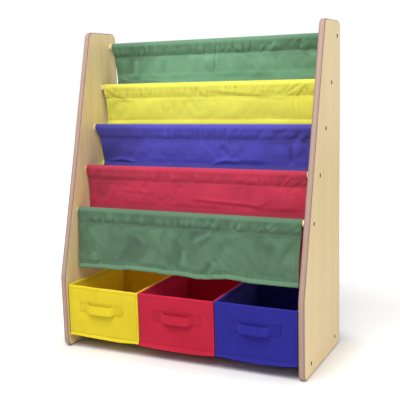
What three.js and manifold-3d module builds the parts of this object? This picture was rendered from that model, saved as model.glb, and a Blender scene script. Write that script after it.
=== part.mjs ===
// A sling bookshelf for a child's room. Two side panels stand on the floor. Five rods between them
// carry a cloth sling with four pockets for picture books, and two base rods carry three cloth bins.
// Millimetres: +X to the right, +Y to the back, +Z up. The pieces are placed with y = 0 at the front
// edge of the side panels, and the whole group is then centred over the floor.

import * as THREE from 'three';
import { mergeVertices } from 'three/addons/utils/BufferGeometryUtils.js';
import Module from 'manifold-3d';

const wasm = await Module();
wasm.setup();

// Side panels
const frameWidth = 638;
const frameHeight = 790;
const frameDepth = 287;
const topDepth = 124;
const uprightHeight = 182;
const boardThickness = 15;
const cornerRadius = 18;
const bendRadius = 60;
const edgeRadius = 4;

// Rods: five for the sling, in a row that climbs backwards, and two for the bins
const rodDiameter = 16;
const rodChamfer = 1;
const rodSocketDepth = 5;
const slingRodCount = 5;
const lowestRodSetback = 73.8;
const lowestRodHeight = 341.5;
const topRodFromRear = 27.6;
const topRodBelowTop = 35.5;
const topRodRise = 5;
const baseRodHeight = 28;
const frontBaseRodSetback = 49;
const rearBaseRodFromRear = 45;

// Screws: one through a side panel into each end of each rod
const screwHeadDiameter = 11;
const screwHeadHeight = 3;
const screwHeadChamfer = 0.5;
const screwDiameter = 5;
const screwReach = 32;
const screwTipLength = 5;
const hexKeySize = 4;
const hexKeyDepth = 2;
const pilotSpare = 2;

// Gaps that let a piece sit in or against another one
const fitGap = 0.3;
const headGap = 0.2;

// Sling cloth: its thickness, its seams below each rod's centre line, and how far it hangs out of plumb
const clothGapLeft = 6.9;
const clothGapRight = 14.1;
const clothThickness = 1.3;
const sleeveDrop = 27.5;
const bendDrop = 92;
const seamFlap = 9;
const hemDrop = 142;
const hemHeight = 13;
const panelLeans = [10, 6, 13, -2, -24];
const sleeveLeanShare = 0.3;
const edgeDraws = [5, 1, 7, 1, 3];
const foldDepth = 3.2;
const foldSpacing = 165;
const narrowFoldSpacing = 97;
const narrowFoldShare = 0.35;
const puckerDepth = 1.1;
const puckerSpacing = 98;

// How much of a wave the folds of each panel start later than those of the panel above
const foldLagShare = 0.37;
const narrowFoldLagShare = 0.61;
const puckerLagShare = 0.29;

// Bins: the room left round them inside the frame, and what their walls are built up from
const binCount = 3;
const binHeight = 124;
const binGap = 2.5;
const binSideGap = 3;
const binFrontSetback = 6.5;
const binFromRear = 8.5;
const binCornerRadius = 2;
const innerCornerShare = 0.25;
const binCloth = 0.7;
const wallBoardThickness = 1.2;
const wallBoardEase = 2;
const layerGap = 0.25;
const rimTurnDepth = 10;
const bottomHemHeight = 10;
const bottomHemDrop = 7;
const bottomHemThickness = 1.4;
const bottomHemEase = 3;
const baseBoardThickness = 2.5;
const baseBoardEase = 1.5;

// Handles: a strap with both ends sewn flat on the bin and a loop between them
const strapWidth = 25;
const strapThickness = 1.6;
const strapPatchLength = 22;
const strapLoopSpan = 79;
const strapLoopStand = 9.6;
const strapBelowRim = 51;

// One length past a face that a cut opens
const overrun = 2;

// Counts of straight sides and steps that stand for a round or a soft shape
const rodSides = 16;
const screwSides = 12;
const hexSides = 6;
const outlineSegments = 3;
const edgeSegments = 3;
const binCornerSegments = 2;
const sleeveSegments = 4;
const clothSteps = 22;
const tailStepsPerRun = 3;

const rodRadius = rodDiameter / 2;
const innerHalfWidth = frameWidth / 2 - boardThickness;
const innerWidth = 2 * innerHalfWidth;
const screwHeadSeat = boardThickness - screwHeadHeight;
const stepsBetweenRods = slingRodCount - 1;
const rodStepBack = (frameDepth - topRodFromRear - lowestRodSetback) / stepsBetweenRods;
const rodRowRise = frameHeight - topRodBelowTop - topRodRise - lowestRodHeight;
const rodStepUp = rodRowRise / stepsBetweenRods;
const clothWidth = innerWidth - clothGapLeft - clothGapRight;
const clothShift = (clothGapLeft - clothGapRight) / 2;
const binWidth = (innerWidth - 2 * binSideGap - (binCount - 1) * binGap) / binCount;
const binPitch = binWidth + binGap;
const binDepth = frameDepth - binFrontSetback - binFromRear;

const boardMaterial = finish('#decda0', 0.5, 0);
const rodMaterial = finish('#ece3bf', 0.45, 0);
const screwMaterial = finish('#5a4030', 0.4, 0.8);
const boardCoreMaterial = finish('#a99a84', 0.8, 0);
const clothColours = { green: '#6d9c78', yellow: '#e8e05f', blue: '#4a43a4', red: '#c3314f' };
const slingColours = ['green', 'yellow', 'blue', 'red', 'green'];
const binColours = { yellow: '#ddc832', red: '#bf2c44', blue: '#37329a' };

const bookshelf = new THREE.Group();

function finish(colour, roughness, metalness) {
  return new THREE.MeshStandardMaterial({ color: colour, roughness, metalness });
}

function addPiece(name, geometry, material) {
  const mesh = new THREE.Mesh(geometry, material);
  mesh.name = name;
  bookshelf.add(mesh);
  return mesh;
}

// Joining and cutting

function toSolid(geometry) {
  const bare = geometry.clone();
  bare.deleteAttribute('normal');
  bare.deleteAttribute('uv');
  const welded = mergeVertices(bare);
  const vertProperties = Float32Array.from(welded.attributes.position.array);
  const triVerts = Uint32Array.from(welded.index.array);
  return new wasm.Manifold(new wasm.Mesh({ numProp: 3, vertProperties, triVerts }));
}

function toGeometry(solid) {
  const mesh = solid.getMesh();
  const geometry = new THREE.BufferGeometry();
  geometry.setAttribute('position', new THREE.BufferAttribute(mesh.vertProperties, 3));
  geometry.setIndex(new THREE.BufferAttribute(mesh.triVerts, 1));
  return geometry;
}

function cutFrom(geometry, ...tools) {
  const cut = tools.reduce((solid, tool) => solid.subtract(toSolid(tool)), toSolid(geometry));
  return toGeometry(cut);
}

function joined(first, ...others) {
  return toGeometry(others.reduce((solid, other) => solid.add(toSolid(other)), toSolid(first)));
}

// Shapes drawn in two directions

// A closed outline whose corners are rounded, each corner given as [across, up, radius].
function roundedOutline(corners) {
  const shape = new THREE.Shape();
  corners.forEach(([across, up, radius], index) => {
    const corner = new THREE.Vector2(across, up);
    const [beforeX, beforeY] = corners.at(index - 1);
    const [afterX, afterY] = corners[(index + 1) % corners.length];
    const toBefore = new THREE.Vector2(beforeX, beforeY).sub(corner).normalize();
    const toAfter = new THREE.Vector2(afterX, afterY).sub(corner).normalize();
    const halfAngle = Math.acos(toBefore.dot(toAfter)) / 2;
    const start = corner.clone().addScaledVector(toBefore, radius / Math.tan(halfAngle));
    const end = corner.clone().addScaledVector(toAfter, radius / Math.tan(halfAngle));
    const bisector = toBefore.clone().add(toAfter).normalize();
    const centre = corner.clone().addScaledVector(bisector, radius / Math.sin(halfAngle));
    const startAngle = Math.atan2(start.y - centre.y, start.x - centre.x);
    const endAngle = Math.atan2(end.y - centre.y, end.x - centre.x);
    if (index === 0) {
      shape.moveTo(start.x, start.y);
    } else {
      shape.lineTo(start.x, start.y);
    }
    shape.absarc(centre.x, centre.y, radius, startAngle, endAngle, false);
  });
  shape.closePath();
  return shape;
}

// The line that runs beside a bent line at a distance, to its left as it is followed.
function besideLine(points, distance) {
  return points.map((point, index) => {
    const before = points[Math.max(index - 1, 0)];
    const after = points[Math.min(index + 1, points.length - 1)];
    const arriving = point.clone().sub(before).normalize();
    const leaving = after.clone().sub(point).normalize();
    const along = arriving.add(leaving).normalize();
    const ending = index === 0 || index === points.length - 1;
    const run = (ending ? after.clone().sub(before) : point.clone().sub(before)).normalize();
    const stretch = distance / along.dot(run);
    return new THREE.Vector2(point.x - along.y * stretch, point.y + along.x * stretch);
  });
}

// Turns a drawing of depth and height, extruded along Z, so that depth runs along Y, height along Z
// and the extrusion along X.
function standSideways(geometry) {
  const depthDirection = new THREE.Vector3(0, 1, 0);
  const heightDirection = new THREE.Vector3(0, 0, 1);
  const lengthDirection = new THREE.Vector3(1, 0, 0);
  const turn = new THREE.Matrix4().makeBasis(depthDirection, heightDirection, lengthDirection);
  return geometry.applyMatrix4(turn);
}

// A round piece turned about X, from its outline as [radius, place along X].
function turnedPiece(outline, sides) {
  const points = outline.map(([radius, along]) => new THREE.Vector2(radius, along));
  return new THREE.LatheGeometry(points, sides).rotateZ(-Math.PI / 2);
}

// A block with upright edges rounded, standing on z = bottom, centred on x = 0.
function standingBlock(width, depth, radius, front, bottom, top) {
  const corners = [
    [-width / 2, front, radius],
    [width / 2, front, radius],
    [width / 2, front + depth, radius],
    [-width / 2, front + depth, radius],
  ];
  const settings = {
    depth: top - bottom,
    bevelEnabled: false,
    curveSegments: binCornerSegments,
  };
  return new THREE.ExtrudeGeometry(roundedOutline(corners), settings).translate(0, 0, bottom);
}

function flatBox(width, depth, height, centreX, front, bottom) {
  const box = new THREE.BoxGeometry(width, depth, height);
  return box.translate(centreX, front + depth / 2, bottom + height / 2);
}

// Rods and screws

function slingRodPlace(index) {
  const stepsUp = stepsBetweenRods - index;
  const rise = index === 0 ? topRodRise : 0;
  const depth = lowestRodSetback + rodStepBack * stepsUp;
  return { depth, height: lowestRodHeight + rodStepUp * stepsUp + rise };
}

function everyRodPlace() {
  const places = Array.from({ length: slingRodCount }, (unused, index) => ({
    name: `sling_rod_${index + 1}`,
    ...slingRodPlace(index),
  }));
  const rearDepth = frameDepth - rearBaseRodFromRear;
  places.push({ name: 'base_rod_front', depth: frontBaseRodSetback, height: baseRodHeight });
  places.push({ name: 'base_rod_rear', depth: rearDepth, height: baseRodHeight });
  return places;
}

function rodGeometry() {
  const halfLength = innerHalfWidth + rodSocketDepth - fitGap;
  const pilotRadius = screwDiameter / 2 + layerGap;
  const pilotEnd = innerHalfWidth - screwReach - pilotSpare;
  const outline = [
    [0, -pilotEnd],
    [pilotRadius, -pilotEnd],
    [pilotRadius, -halfLength],
    [rodRadius - rodChamfer, -halfLength],
    [rodRadius, -halfLength + rodChamfer],
    [rodRadius, halfLength - rodChamfer],
    [rodRadius - rodChamfer, halfLength],
    [pilotRadius, halfLength],
    [pilotRadius, pilotEnd],
    [0, pilotEnd],
  ];
  return turnedPiece(outline, rodSides);
}

// A screw that points inwards from the right, with x = 0 at the inner face of its side panel.
function screwGeometry() {
  const radius = screwDiameter / 2;
  const headRadius = screwHeadDiameter / 2;
  const outline = [
    [0, -screwReach],
    [radius, -screwReach + screwTipLength],
    [radius, screwHeadSeat],
    [headRadius, screwHeadSeat],
    [headRadius, boardThickness - screwHeadChamfer],
    [headRadius - screwHeadChamfer, boardThickness],
    [0, boardThickness],
  ];
  const keyRadius = hexKeySize / 2 / Math.cos(Math.PI / hexSides);
  const keyLength = hexKeyDepth + overrun;
  const key = new THREE.CylinderGeometry(keyRadius, keyRadius, keyLength, hexSides);
  key.rotateZ(Math.PI / 2).translate(boardThickness - hexKeyDepth + keyLength / 2, 0, 0);
  return cutFrom(turnedPiece(outline, screwSides), key);
}

// The hole for one rod end and its screw: a socket inside, a clearance bore, a recess for the head.
function rodHoleCutter() {
  const socketRadius = rodRadius + fitGap;
  const boreRadius = screwDiameter / 2 + fitGap;
  const recessRadius = screwHeadDiameter / 2 + headGap;
  const recessFloor = screwHeadSeat - headGap;
  const outline = [
    [0, -overrun],
    [socketRadius, -overrun],
    [socketRadius, rodSocketDepth],
    [boreRadius, rodSocketDepth],
    [boreRadius, recessFloor],
    [recessRadius, recessFloor],
    [recessRadius, boardThickness + overrun],
    [0, boardThickness + overrun],
  ];
  return turnedPiece(outline, rodSides);
}

// Turns a piece made for the right side round to the left side when side is -1, and puts it in place.
function atRodEnd(geometry, side, place) {
  if (side < 0) {
    geometry.rotateZ(Math.PI);
  }
  return geometry.translate(side * innerHalfWidth, place.depth, place.height);
}

// Side panels

function sidePanelGeometry(side) {
  const outline = roundedOutline([
    [0, 0, cornerRadius],
    [frameDepth, 0, cornerRadius],
    [frameDepth, frameHeight, cornerRadius],
    [frameDepth - topDepth, frameHeight, cornerRadius],
    [0, uprightHeight, bendRadius],
  ]);
  const settings = {
    depth: boardThickness - 2 * edgeRadius,
    curveSegments: outlineSegments,
    bevelThickness: edgeRadius,
    bevelSize: edgeRadius,
    bevelOffset: -edgeRadius,
    bevelSegments: edgeSegments,
  };
  const board = standSideways(new THREE.ExtrudeGeometry(outline, settings));
  const outerFace = side > 0 ? innerHalfWidth : -frameWidth / 2;
  board.translate(outerFace + edgeRadius, 0, 0);
  return cutFrom(board, ...everyRodPlace().map((place) => atRodEnd(rodHoleCutter(), side, place)));
}

function addFrame() {
  addPiece('side_panel_left', sidePanelGeometry(-1), boardMaterial);
  addPiece('side_panel_right', sidePanelGeometry(1), boardMaterial);
  for (const place of everyRodPlace()) {
    addPiece(place.name, rodGeometry().translate(0, place.depth, place.height), rodMaterial);
    addPiece(`screw_left_${place.name}`, atRodEnd(screwGeometry(), -1, place), screwMaterial);
    addPiece(`screw_right_${place.name}`, atRodEnd(screwGeometry(), 1, place), screwMaterial);
  }
}

// Sling. A panel is sewn round its rod as a sleeve, hangs down to the line where the panel behind is
// sewn on, and from there runs forward and down to be sewn on the back of the next panel.

function pointBelowRod(index, drop, lean) {
  const rod = slingRodPlace(index);
  return new THREE.Vector2(rod.depth + lean, rod.height - drop);
}

function sleeveSeam(index) {
  return pointBelowRod(index, sleeveDrop, panelLeans[index] * sleeveLeanShare);
}

// The line on a panel's back where the panel behind it is sewn on.
function pocketSeam(index) {
  if (index < slingRodCount - 1) {
    return pointBelowRod(index, bendDrop, panelLeans[index]);
  }
  return hemTop();
}

function hemTop() {
  const foot = hemFoot();
  return foot.clone().lerp(sleeveSeam(slingRodCount - 1), hemHeight / (hemDrop - sleeveDrop));
}

function hemFoot() {
  return pointBelowRod(slingRodCount - 1, hemDrop, panelLeans[slingRodCount - 1]);
}

function directionBelowSeam(index) {
  const seam = pocketSeam(index);
  const next = index < slingRodCount - 1 ? pocketSeam(index + 1) : hemFoot();
  return next.sub(seam).normalize();
}

// The middle line of a panel's cloth below its sleeve, from the top down.
function tailLine(index) {
  const seam = sleeveSeam(index);
  if (index === slingRodCount - 1) {
    return withSteps([seam, hemTop()]).concat([hemFoot()]);
  }
  const along = directionBelowSeam(index + 1);
  const behind = new THREE.Vector2(-along.y, along.x).multiplyScalar(clothThickness + fitGap);
  const flapTop = pocketSeam(index + 1).add(behind);
  const flapFoot = flapTop.clone().addScaledVector(along, seamFlap);
  return withSteps([seam, pocketSeam(index), flapTop]).concat([flapFoot]);
}

function withSteps(points) {
  const stepped = [points[0]];
  for (let index = 1; index < points.length; index += 1) {
    for (let step = 1; step <= tailStepsPerRun; step += 1) {
      stepped.push(points[index - 1].clone().lerp(points[index], step / tailStepsPerRun));
    }
  }
  return stepped;
}

// The two points where straight lines from a point below touch a circle, front first, as angles.
function touchAngles(centre, radius, point) {
  const offset = point.clone().sub(centre);
  const towards = Math.atan2(offset.y, offset.x);
  const spread = Math.acos(radius / offset.length());
  return { front: towards - spread, back: towards + spread };
}

function pointOnCircle(centre, radius, angle) {
  return new THREE.Vector2(
    centre.x + radius * Math.cos(angle),
    centre.y + radius * Math.sin(angle),
  );
}

// The section of one panel: up its front, over the rod, down its back, with the sleeve as a hole.
function slingSection(index) {
  const rod = slingRodPlace(index);
  const centre = new THREE.Vector2(rod.depth, rod.height);
  const innerRadius = rodRadius + fitGap;
  const outerRadius = innerRadius + clothThickness;
  const tail = tailLine(index);
  const seam = tail[0];
  const front = besideLine(tail, -clothThickness / 2);
  const back = besideLine(tail, clothThickness / 2);
  if (index === slingRodCount - 1) {
    thickenHem(front, tail);
  }
  const seamFront = new THREE.Vector2(seam.x - clothThickness, seam.y);
  const seamBack = new THREE.Vector2(seam.x + clothThickness, seam.y);
  const outer = touchAngles(centre, outerRadius, seam);
  const shape = new THREE.Shape();
  const lowest = front.at(-1);
  shape.moveTo(lowest.x, lowest.y);
  front.slice(1, -1).reverse().forEach((point) => shape.lineTo(point.x, point.y));
  shape.lineTo(seamFront.x, seamFront.y);
  const frontMiddle = pointOnCircle(centre, outerRadius, outer.front).lerp(seamFront, 0.5);
  const backMiddle = pointOnCircle(centre, outerRadius, outer.back).lerp(seamBack, 0.5);
  shape.lineTo(frontMiddle.x, frontMiddle.y);
  shape.absarc(centre.x, centre.y, outerRadius, outer.front, outer.back, true);
  shape.lineTo(backMiddle.x, backMiddle.y);
  shape.lineTo(seamBack.x, seamBack.y);
  back.slice(1).forEach((point) => shape.lineTo(point.x, point.y));
  shape.closePath();
  shape.holes.push(sleeveHole(centre, innerRadius, seam));
  return shape;
}

function sleeveHole(centre, radius, seam) {
  const apex = new THREE.Vector2(seam.x, seam.y + clothThickness);
  const touch = touchAngles(centre, radius, apex);
  const frontMiddle = pointOnCircle(centre, radius, touch.front).lerp(apex, 0.5);
  const backMiddle = pointOnCircle(centre, radius, touch.back).lerp(apex, 0.5);
  const hole = new THREE.Path();
  hole.moveTo(apex.x, apex.y);
  hole.lineTo(backMiddle.x, backMiddle.y);
  hole.absarc(centre.x, centre.y, radius, touch.back, touch.front, false);
  hole.lineTo(frontMiddle.x, frontMiddle.y);
  hole.closePath();
  return hole;
}

// The hem of the lowest panel is folded forward over itself, so it is two cloths thicker in front.
function thickenHem(front, tail) {
  const along = directionBelowSeam(slingRodCount - 1);
  const forward = new THREE.Vector2(along.y, -along.x);
  front.forEach((point, index) => {
    if (index >= tail.length - 2) {
      point.addScaledVector(forward, clothThickness);
    }
  });
}

// Pushes the cloth in and out in soft folds and draws its side edges in. The folds die away at the
// rod and at each seam, where the cloth is held.
function hangInFolds(geometry, index) {
  const rod = slingRodPlace(index);
  const position = geometry.attributes.position;
  const foldEnd = rod.height - pocketSeam(index).y;
  for (let vertex = 0; vertex < position.count; vertex += 1) {
    const across = position.getX(vertex);
    const drop = rod.height - position.getZ(vertex);
    const fold = foldDepth * swell(drop, sleeveDrop, foldEnd) * foldWave(across, index);
    const puckerWave = wave(across, puckerSpacing, index * puckerLagShare);
    const pucker = puckerDepth * swell(drop, rodRadius, sleeveDrop) * puckerWave;
    const drawn = edgeDraws[index] * THREE.MathUtils.smoothstep(drop, 0, bendDrop);
    position.setX(vertex, across * (1 - drawn / (clothWidth / 2)) + clothShift);
    position.setY(vertex, position.getY(vertex) + fold + pucker);
  }
  return geometry;
}

// Rises from 0 to 1 and falls back to 0 between two drops below the rod.
function swell(drop, start, end) {
  const share = THREE.MathUtils.clamp((drop - start) / (end - start), 0, 1);
  return Math.sin(Math.PI * share);
}

function wave(across, spacing, lag) {
  return Math.sin(2 * Math.PI * (across / spacing + lag));
}

function foldWave(across, index) {
  const wide = wave(across, foldSpacing, index * foldLagShare);
  const narrow = wave(across, narrowFoldSpacing, index * narrowFoldLagShare);
  return THREE.MathUtils.lerp(wide, narrow, narrowFoldShare);
}

function addSling() {
  slingColours.forEach((colour, index) => {
    const settings = {
      depth: clothWidth,
      steps: clothSteps,
      bevelEnabled: false,
      curveSegments: sleeveSegments,
    };
    const cloth = standSideways(new THREE.ExtrudeGeometry(slingSection(index), settings));
    cloth.translate(-clothWidth / 2, 0, 0);
    const name = `sling_panel_${index + 1}_${colour}`;
    addPiece(name, hangInFolds(cloth, index), finish(clothColours[colour], 0.85, 0));
  });
}

// Bins. A wall is built up as cover, board and lining, and the cover turns over the rim to the inside.

const binBottom = baseRodHeight + rodRadius + fitGap;
const binTop = binBottom + binHeight;
const boardInset = binCloth + layerGap;
const liningInset = boardInset + wallBoardThickness + layerGap;
const turnInset = liningInset + binCloth + layerGap;
const openingInset = turnInset + binCloth;
const boardTop = binTop - binCloth - layerGap;

// A block that follows the bin's outside at an inset, with corners that stay a little round.
function insetBlock(inset, bottom, top) {
  const radius = Math.max(binCornerRadius - inset, binCornerRadius * innerCornerShare);
  const front = binFrontSetback + inset;
  return standingBlock(binWidth - 2 * inset, binDepth - 2 * inset, radius, front, bottom, top);
}

function coverGeometry() {
  const hollow = insetBlock(binCloth, binBottom + binCloth, binTop - binCloth);
  const mouth = insetBlock(openingInset, binTop - rimTurnDepth, binTop + overrun);
  const shell = cutFrom(insetBlock(0, binBottom, binTop), hollow, mouth);
  const turnOutside = insetBlock(turnInset, binTop - rimTurnDepth, binTop - binCloth / 2);
  const turn = cutFrom(turnOutside, insetBlock(openingInset, binBottom, binTop + overrun));
  const hem = flatBox(
    binWidth - 2 * bottomHemEase,
    bottomHemThickness + binCloth / 2,
    bottomHemHeight,
    0,
    binFrontSetback - bottomHemThickness,
    binBottom - bottomHemDrop,
  );
  return joined(shell, turn, hem);
}

function liningGeometry() {
  const bottom = binBottom + boardInset;
  const outside = insetBlock(liningInset, bottom, boardTop);
  return cutFrom(outside, insetBlock(liningInset + binCloth, bottom + binCloth, binTop + overrun));
}

function addWallBoards(colour, centreX) {
  const bottom = binBottom + boardInset;
  const height = boardTop - bottom;
  const faceWidth = binWidth - 2 * (boardInset + wallBoardEase);
  const sideDepth = binDepth - 2 * (liningInset + wallBoardEase);
  const front = binFrontSetback + boardInset;
  const back = binFrontSetback + binDepth - boardInset - wallBoardThickness;
  const sideFront = binFrontSetback + liningInset + wallBoardEase;
  const sideX = binWidth / 2 - boardInset - wallBoardThickness / 2;
  const boards = {
    front: flatBox(faceWidth, wallBoardThickness, height, centreX, front, bottom),
    back: flatBox(faceWidth, wallBoardThickness, height, centreX, back, bottom),
    left: flatBox(wallBoardThickness, sideDepth, height, centreX - sideX, sideFront, bottom),
    right: flatBox(wallBoardThickness, sideDepth, height, centreX + sideX, sideFront, bottom),
  };
  for (const [side, board] of Object.entries(boards)) {
    addPiece(`${colour}_bin_${side}_board`, board, boardCoreMaterial);
  }
}

function baseBoardGeometry() {
  const inset = liningInset + binCloth + baseBoardEase;
  const bottom = binBottom + boardInset + binCloth + layerGap;
  return insetBlock(inset, bottom, bottom + baseBoardThickness);
}

// The middle line of the strap, from its left end to its right end, standing off the bin's front.
function strapLine() {
  const loopShares = [
    [1, 0],
    [0.93, 0.24],
    [0.84, 0.72],
    [0.72, 0.95],
    [0.4, 1.03],
    [0, 1.06],
  ];
  const face = binFrontSetback - fitGap - strapThickness / 2;
  const halfSpan = strapLoopSpan / 2;
  const places = loopShares.map(([x, y]) => [x * halfSpan, face - y * strapLoopStand]);
  places.unshift([halfSpan + strapPatchLength, face]);
  const right = places.map(([x, y]) => new THREE.Vector2(x, y));
  const left = places.slice(0, -1).map(([x, y]) => new THREE.Vector2(-x, y));
  return left.concat(right.reverse());
}

function handleGeometry() {
  const line = strapLine();
  const outside = besideLine(line, -strapThickness / 2);
  const inside = besideLine(line, strapThickness / 2).reverse();
  const shape = new THREE.Shape(outside.concat(inside));
  const strap = new THREE.ExtrudeGeometry(shape, { depth: strapWidth, bevelEnabled: false });
  return strap.translate(0, 0, binTop - strapBelowRim - strapWidth / 2);
}

function addBins() {
  Object.entries(binColours).forEach(([name, colour], index) => {
    const centreX = (index - (binCount - 1) / 2) * binPitch;
    const cloth = finish(colour, 0.85, 0);
    addPiece(`${name}_bin_cover`, coverGeometry().translate(centreX, 0, 0), cloth);
    addPiece(`${name}_bin_lining`, liningGeometry().translate(centreX, 0, 0), cloth);
    addWallBoards(name, centreX);
    addPiece(`${name}_bin_base_board`, baseBoardGeometry().translate(centreX, 0, 0), cloth);
    addPiece(`${name}_bin_handle`, handleGeometry().translate(centreX, 0, 0), cloth);
  });
}

addFrame();
addSling();
addBins();

// Centres the finished bookshelf over the floor
const extent = new THREE.Box3().setFromObject(bookshelf);
bookshelf.position.y = -(extent.min.y + extent.max.y) / 2;

export default bookshelf;
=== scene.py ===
import math

import bmesh
import bpy
from mathutils import Matrix, Vector, noise


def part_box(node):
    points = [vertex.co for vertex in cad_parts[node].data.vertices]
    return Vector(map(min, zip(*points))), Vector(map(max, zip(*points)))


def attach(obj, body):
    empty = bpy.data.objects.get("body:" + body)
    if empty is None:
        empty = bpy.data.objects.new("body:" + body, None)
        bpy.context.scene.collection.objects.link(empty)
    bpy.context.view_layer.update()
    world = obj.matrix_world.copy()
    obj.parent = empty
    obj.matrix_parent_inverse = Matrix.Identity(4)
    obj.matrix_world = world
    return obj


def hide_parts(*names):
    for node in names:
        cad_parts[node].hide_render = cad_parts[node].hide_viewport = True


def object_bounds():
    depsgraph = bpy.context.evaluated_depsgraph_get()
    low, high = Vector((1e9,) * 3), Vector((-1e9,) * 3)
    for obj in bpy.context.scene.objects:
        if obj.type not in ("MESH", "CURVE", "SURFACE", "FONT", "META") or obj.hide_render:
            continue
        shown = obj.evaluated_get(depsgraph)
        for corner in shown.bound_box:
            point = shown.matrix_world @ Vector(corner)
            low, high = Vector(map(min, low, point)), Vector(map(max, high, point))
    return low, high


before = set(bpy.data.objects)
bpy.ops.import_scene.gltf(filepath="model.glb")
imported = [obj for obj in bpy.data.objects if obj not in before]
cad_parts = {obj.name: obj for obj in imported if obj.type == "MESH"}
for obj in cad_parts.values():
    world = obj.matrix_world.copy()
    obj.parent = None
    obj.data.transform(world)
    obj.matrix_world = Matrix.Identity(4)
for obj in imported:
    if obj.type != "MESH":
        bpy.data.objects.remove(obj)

# A child's sling bookshelf. Everything is in metres and in the part's own frame: +X to the right,
# +Y to the back, +Z up. Sizes that a maker would read off a ruler are written in millimetres.
MM = 0.001

cad_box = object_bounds()
scene = bpy.context.scene


# Small sums

def lerp(start, end, share):
    return start + (end - start) * share


def limit(value, low, high):
    return min(max(value, low), high)


def smoothstep(low, high, value):
    """Eases from 0 to 1 while the value goes from low to high."""
    share = limit((value - low) / (high - low), 0.0, 1.0)
    return share * share * (3 - 2 * share)


def plateau(value, rise, fall):
    """Eases from 0 to 1 over the first pair of values, and back to 0 over the second."""
    return smoothstep(*rise, value) * (1 - smoothstep(*fall, value))


def bell(distance, width):
    """1 at no distance, and next to nothing at twice the width."""
    return math.exp(-(distance / width) ** 2)


def soft_noise(x, y, z):
    return noise.noise(Vector((x, y, z)))


def paint(colour):
    """A colour given as red, green and blue from 0 to 255 as a screen shows them."""
    linear = []
    for part in colour:
        share = part / 255
        linear.append(share / 12.92 if share <= 0.04045 else ((share + 0.055) / 1.055) ** 2.4)
    return (*linear, 1)


# Nodes

class Nodes:
    """Adds nodes to one node tree and joins them."""

    def __init__(self, tree):
        self.tree = tree

    def add(self, kind, **settings):
        node = self.tree.nodes.new(kind)
        for name, value in settings.items():
            setattr(node, name, value)
        return node

    def join(self, source, target):
        self.tree.links.new(source, target)

    def feed_socket(self, socket, value):
        """Gives a socket a plain value or the output of another node."""
        if isinstance(value, bpy.types.NodeSocket):
            self.join(value, socket)
        else:
            socket.default_value = value

    def feed(self, node, **values):
        """Feeds sockets by name. A space in a socket's name is written as an underscore."""
        for name, value in values.items():
            self.feed_socket(node.inputs[name.replace("_", " ")], value)

    def sum_of(self, operation, first, second=0.0, third=0.0):
        node = self.add("ShaderNodeMath", operation=operation)
        for socket, value in zip(node.inputs, (first, second, third)):
            self.feed_socket(socket, value)
        return node.outputs[0]

    def length_of(self, first, second):
        """The length of a line that runs so far one way and so far square to it."""
        squares = self.sum_of("MULTIPLY_ADD", first, first, self.sum_of("MULTIPLY", second, second))
        return self.sum_of("SQRT", squares)

    def spread(self, value, low, high, to_low=0.0, to_high=1.0):
        """Eases from to_low to to_high while the value goes from low to high."""
        node = self.add("ShaderNodeMapRange", interpolation_type="SMOOTHSTEP")
        self.feed(node, Value=value, From_Min=low, From_Max=high, To_Min=to_low, To_Max=to_high)
        return node.outputs["Result"]

    def near(self, value, middle, width):
        """1 where the value is at the middle, falling to 0 at a width from it."""
        away = self.sum_of("ABSOLUTE", self.sum_of("SUBTRACT", value, middle))
        return self.spread(away, 0.0, width, 1.0, 0.0)

    def split(self, vector):
        """The three parts of a vector, by the names X, Y and Z."""
        node = self.add("ShaderNodeSeparateXYZ")
        self.feed(node, Vector=vector)
        return node.outputs

    def stretched(self, vector, scale):
        node = self.add("ShaderNodeMapping")
        self.feed(node, Vector=vector, Scale=scale)
        return node.outputs["Vector"]

    def speckle(self, vector, scale, detail=2.0, roughness=0.5, distortion=0.0):
        node = self.add("ShaderNodeTexNoise")
        self.feed(node, Vector=vector, Scale=scale, Detail=detail, Roughness=roughness)
        self.feed(node, Distortion=distortion)
        return node.outputs["Fac"]

    def blend(self, first, second, share, mode="MIX"):
        node = self.add("ShaderNodeMix", data_type="RGBA", blend_type=mode)
        self.feed(node, Factor=share)
        colours = [socket for socket in node.inputs if socket.type == "RGBA"]
        for socket, value in zip(colours, (first, second)):
            self.feed_socket(socket, value)
        return next(socket for socket in node.outputs if socket.type == "RGBA")

    def stain(self, under, colour, mask, most):
        """Lays a paint over a colour where a mask is, at most to the share given."""
        return self.blend(under, paint(colour), self.sum_of("MULTIPLY", mask, most))

    def bump(self, height, strength, distance):
        node = self.add("ShaderNodeBump")
        self.feed(node, Height=height, Strength=strength, Distance=distance)
        return node.outputs["Normal"]


# Camera, light and floor

# The camera's turn to the left, its look down and its roll are in radians, its lens is in millimetres
CAMERA_PLACE = (0.8021, -1.6359, 0.6629)
CAMERA_YAW = 0.4516
CAMERA_PITCH = 0.1594
CAMERA_ROLL = -0.0277
CAMERA_LENS = 67.56

# Each softbox by its place, its width and height, and its watts. All of them face the shelf's middle.
SOFTBOXES = {
    "top_front_softbox": ((0, -1.3, 2.2), (2.0, 1.4), 48),
    "top_back_softbox": ((0, 1.3, 2.2), (2.0, 1.4), 4),
    "top_left_softbox": ((-1.5, -0.5, 2.0), (1.4, 1.6), 6),
    "right_softbox": ((2.6, -0.2, 1.2), (1.6, 1.4), 21.5),
}
SHELF_MIDDLE = Vector((0, 0, 0.35))
FILL_STRENGTH = 0.39
BACKDROP_STRENGTH = 1.0

# The floor lies a hair below the feet. Its painted shadow, a purple-grey colour under the shelf,
# starts at a line this far inside the shelf's outline.
FLOOR_HALF_WIDTH = 6
FLOOR_DROP = 0.3 * MM
FLOOR_INSET = 25 * MM
FLOOR_PAINTED_SHADOW = (0.56, 0.48, 0.64, 1)
FLOOR_WHITES = ((0.905, 0.9, 0.89, 1), (0.895, 0.89, 0.88, 1))

# The floor's own glow: from and to how far outside that line it grows, and how strong it gets
FLOOR_GLOWS = [(FLOOR_INSET, 0.13, 0.26), (0.3, 1.6, 0.6)]


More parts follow.
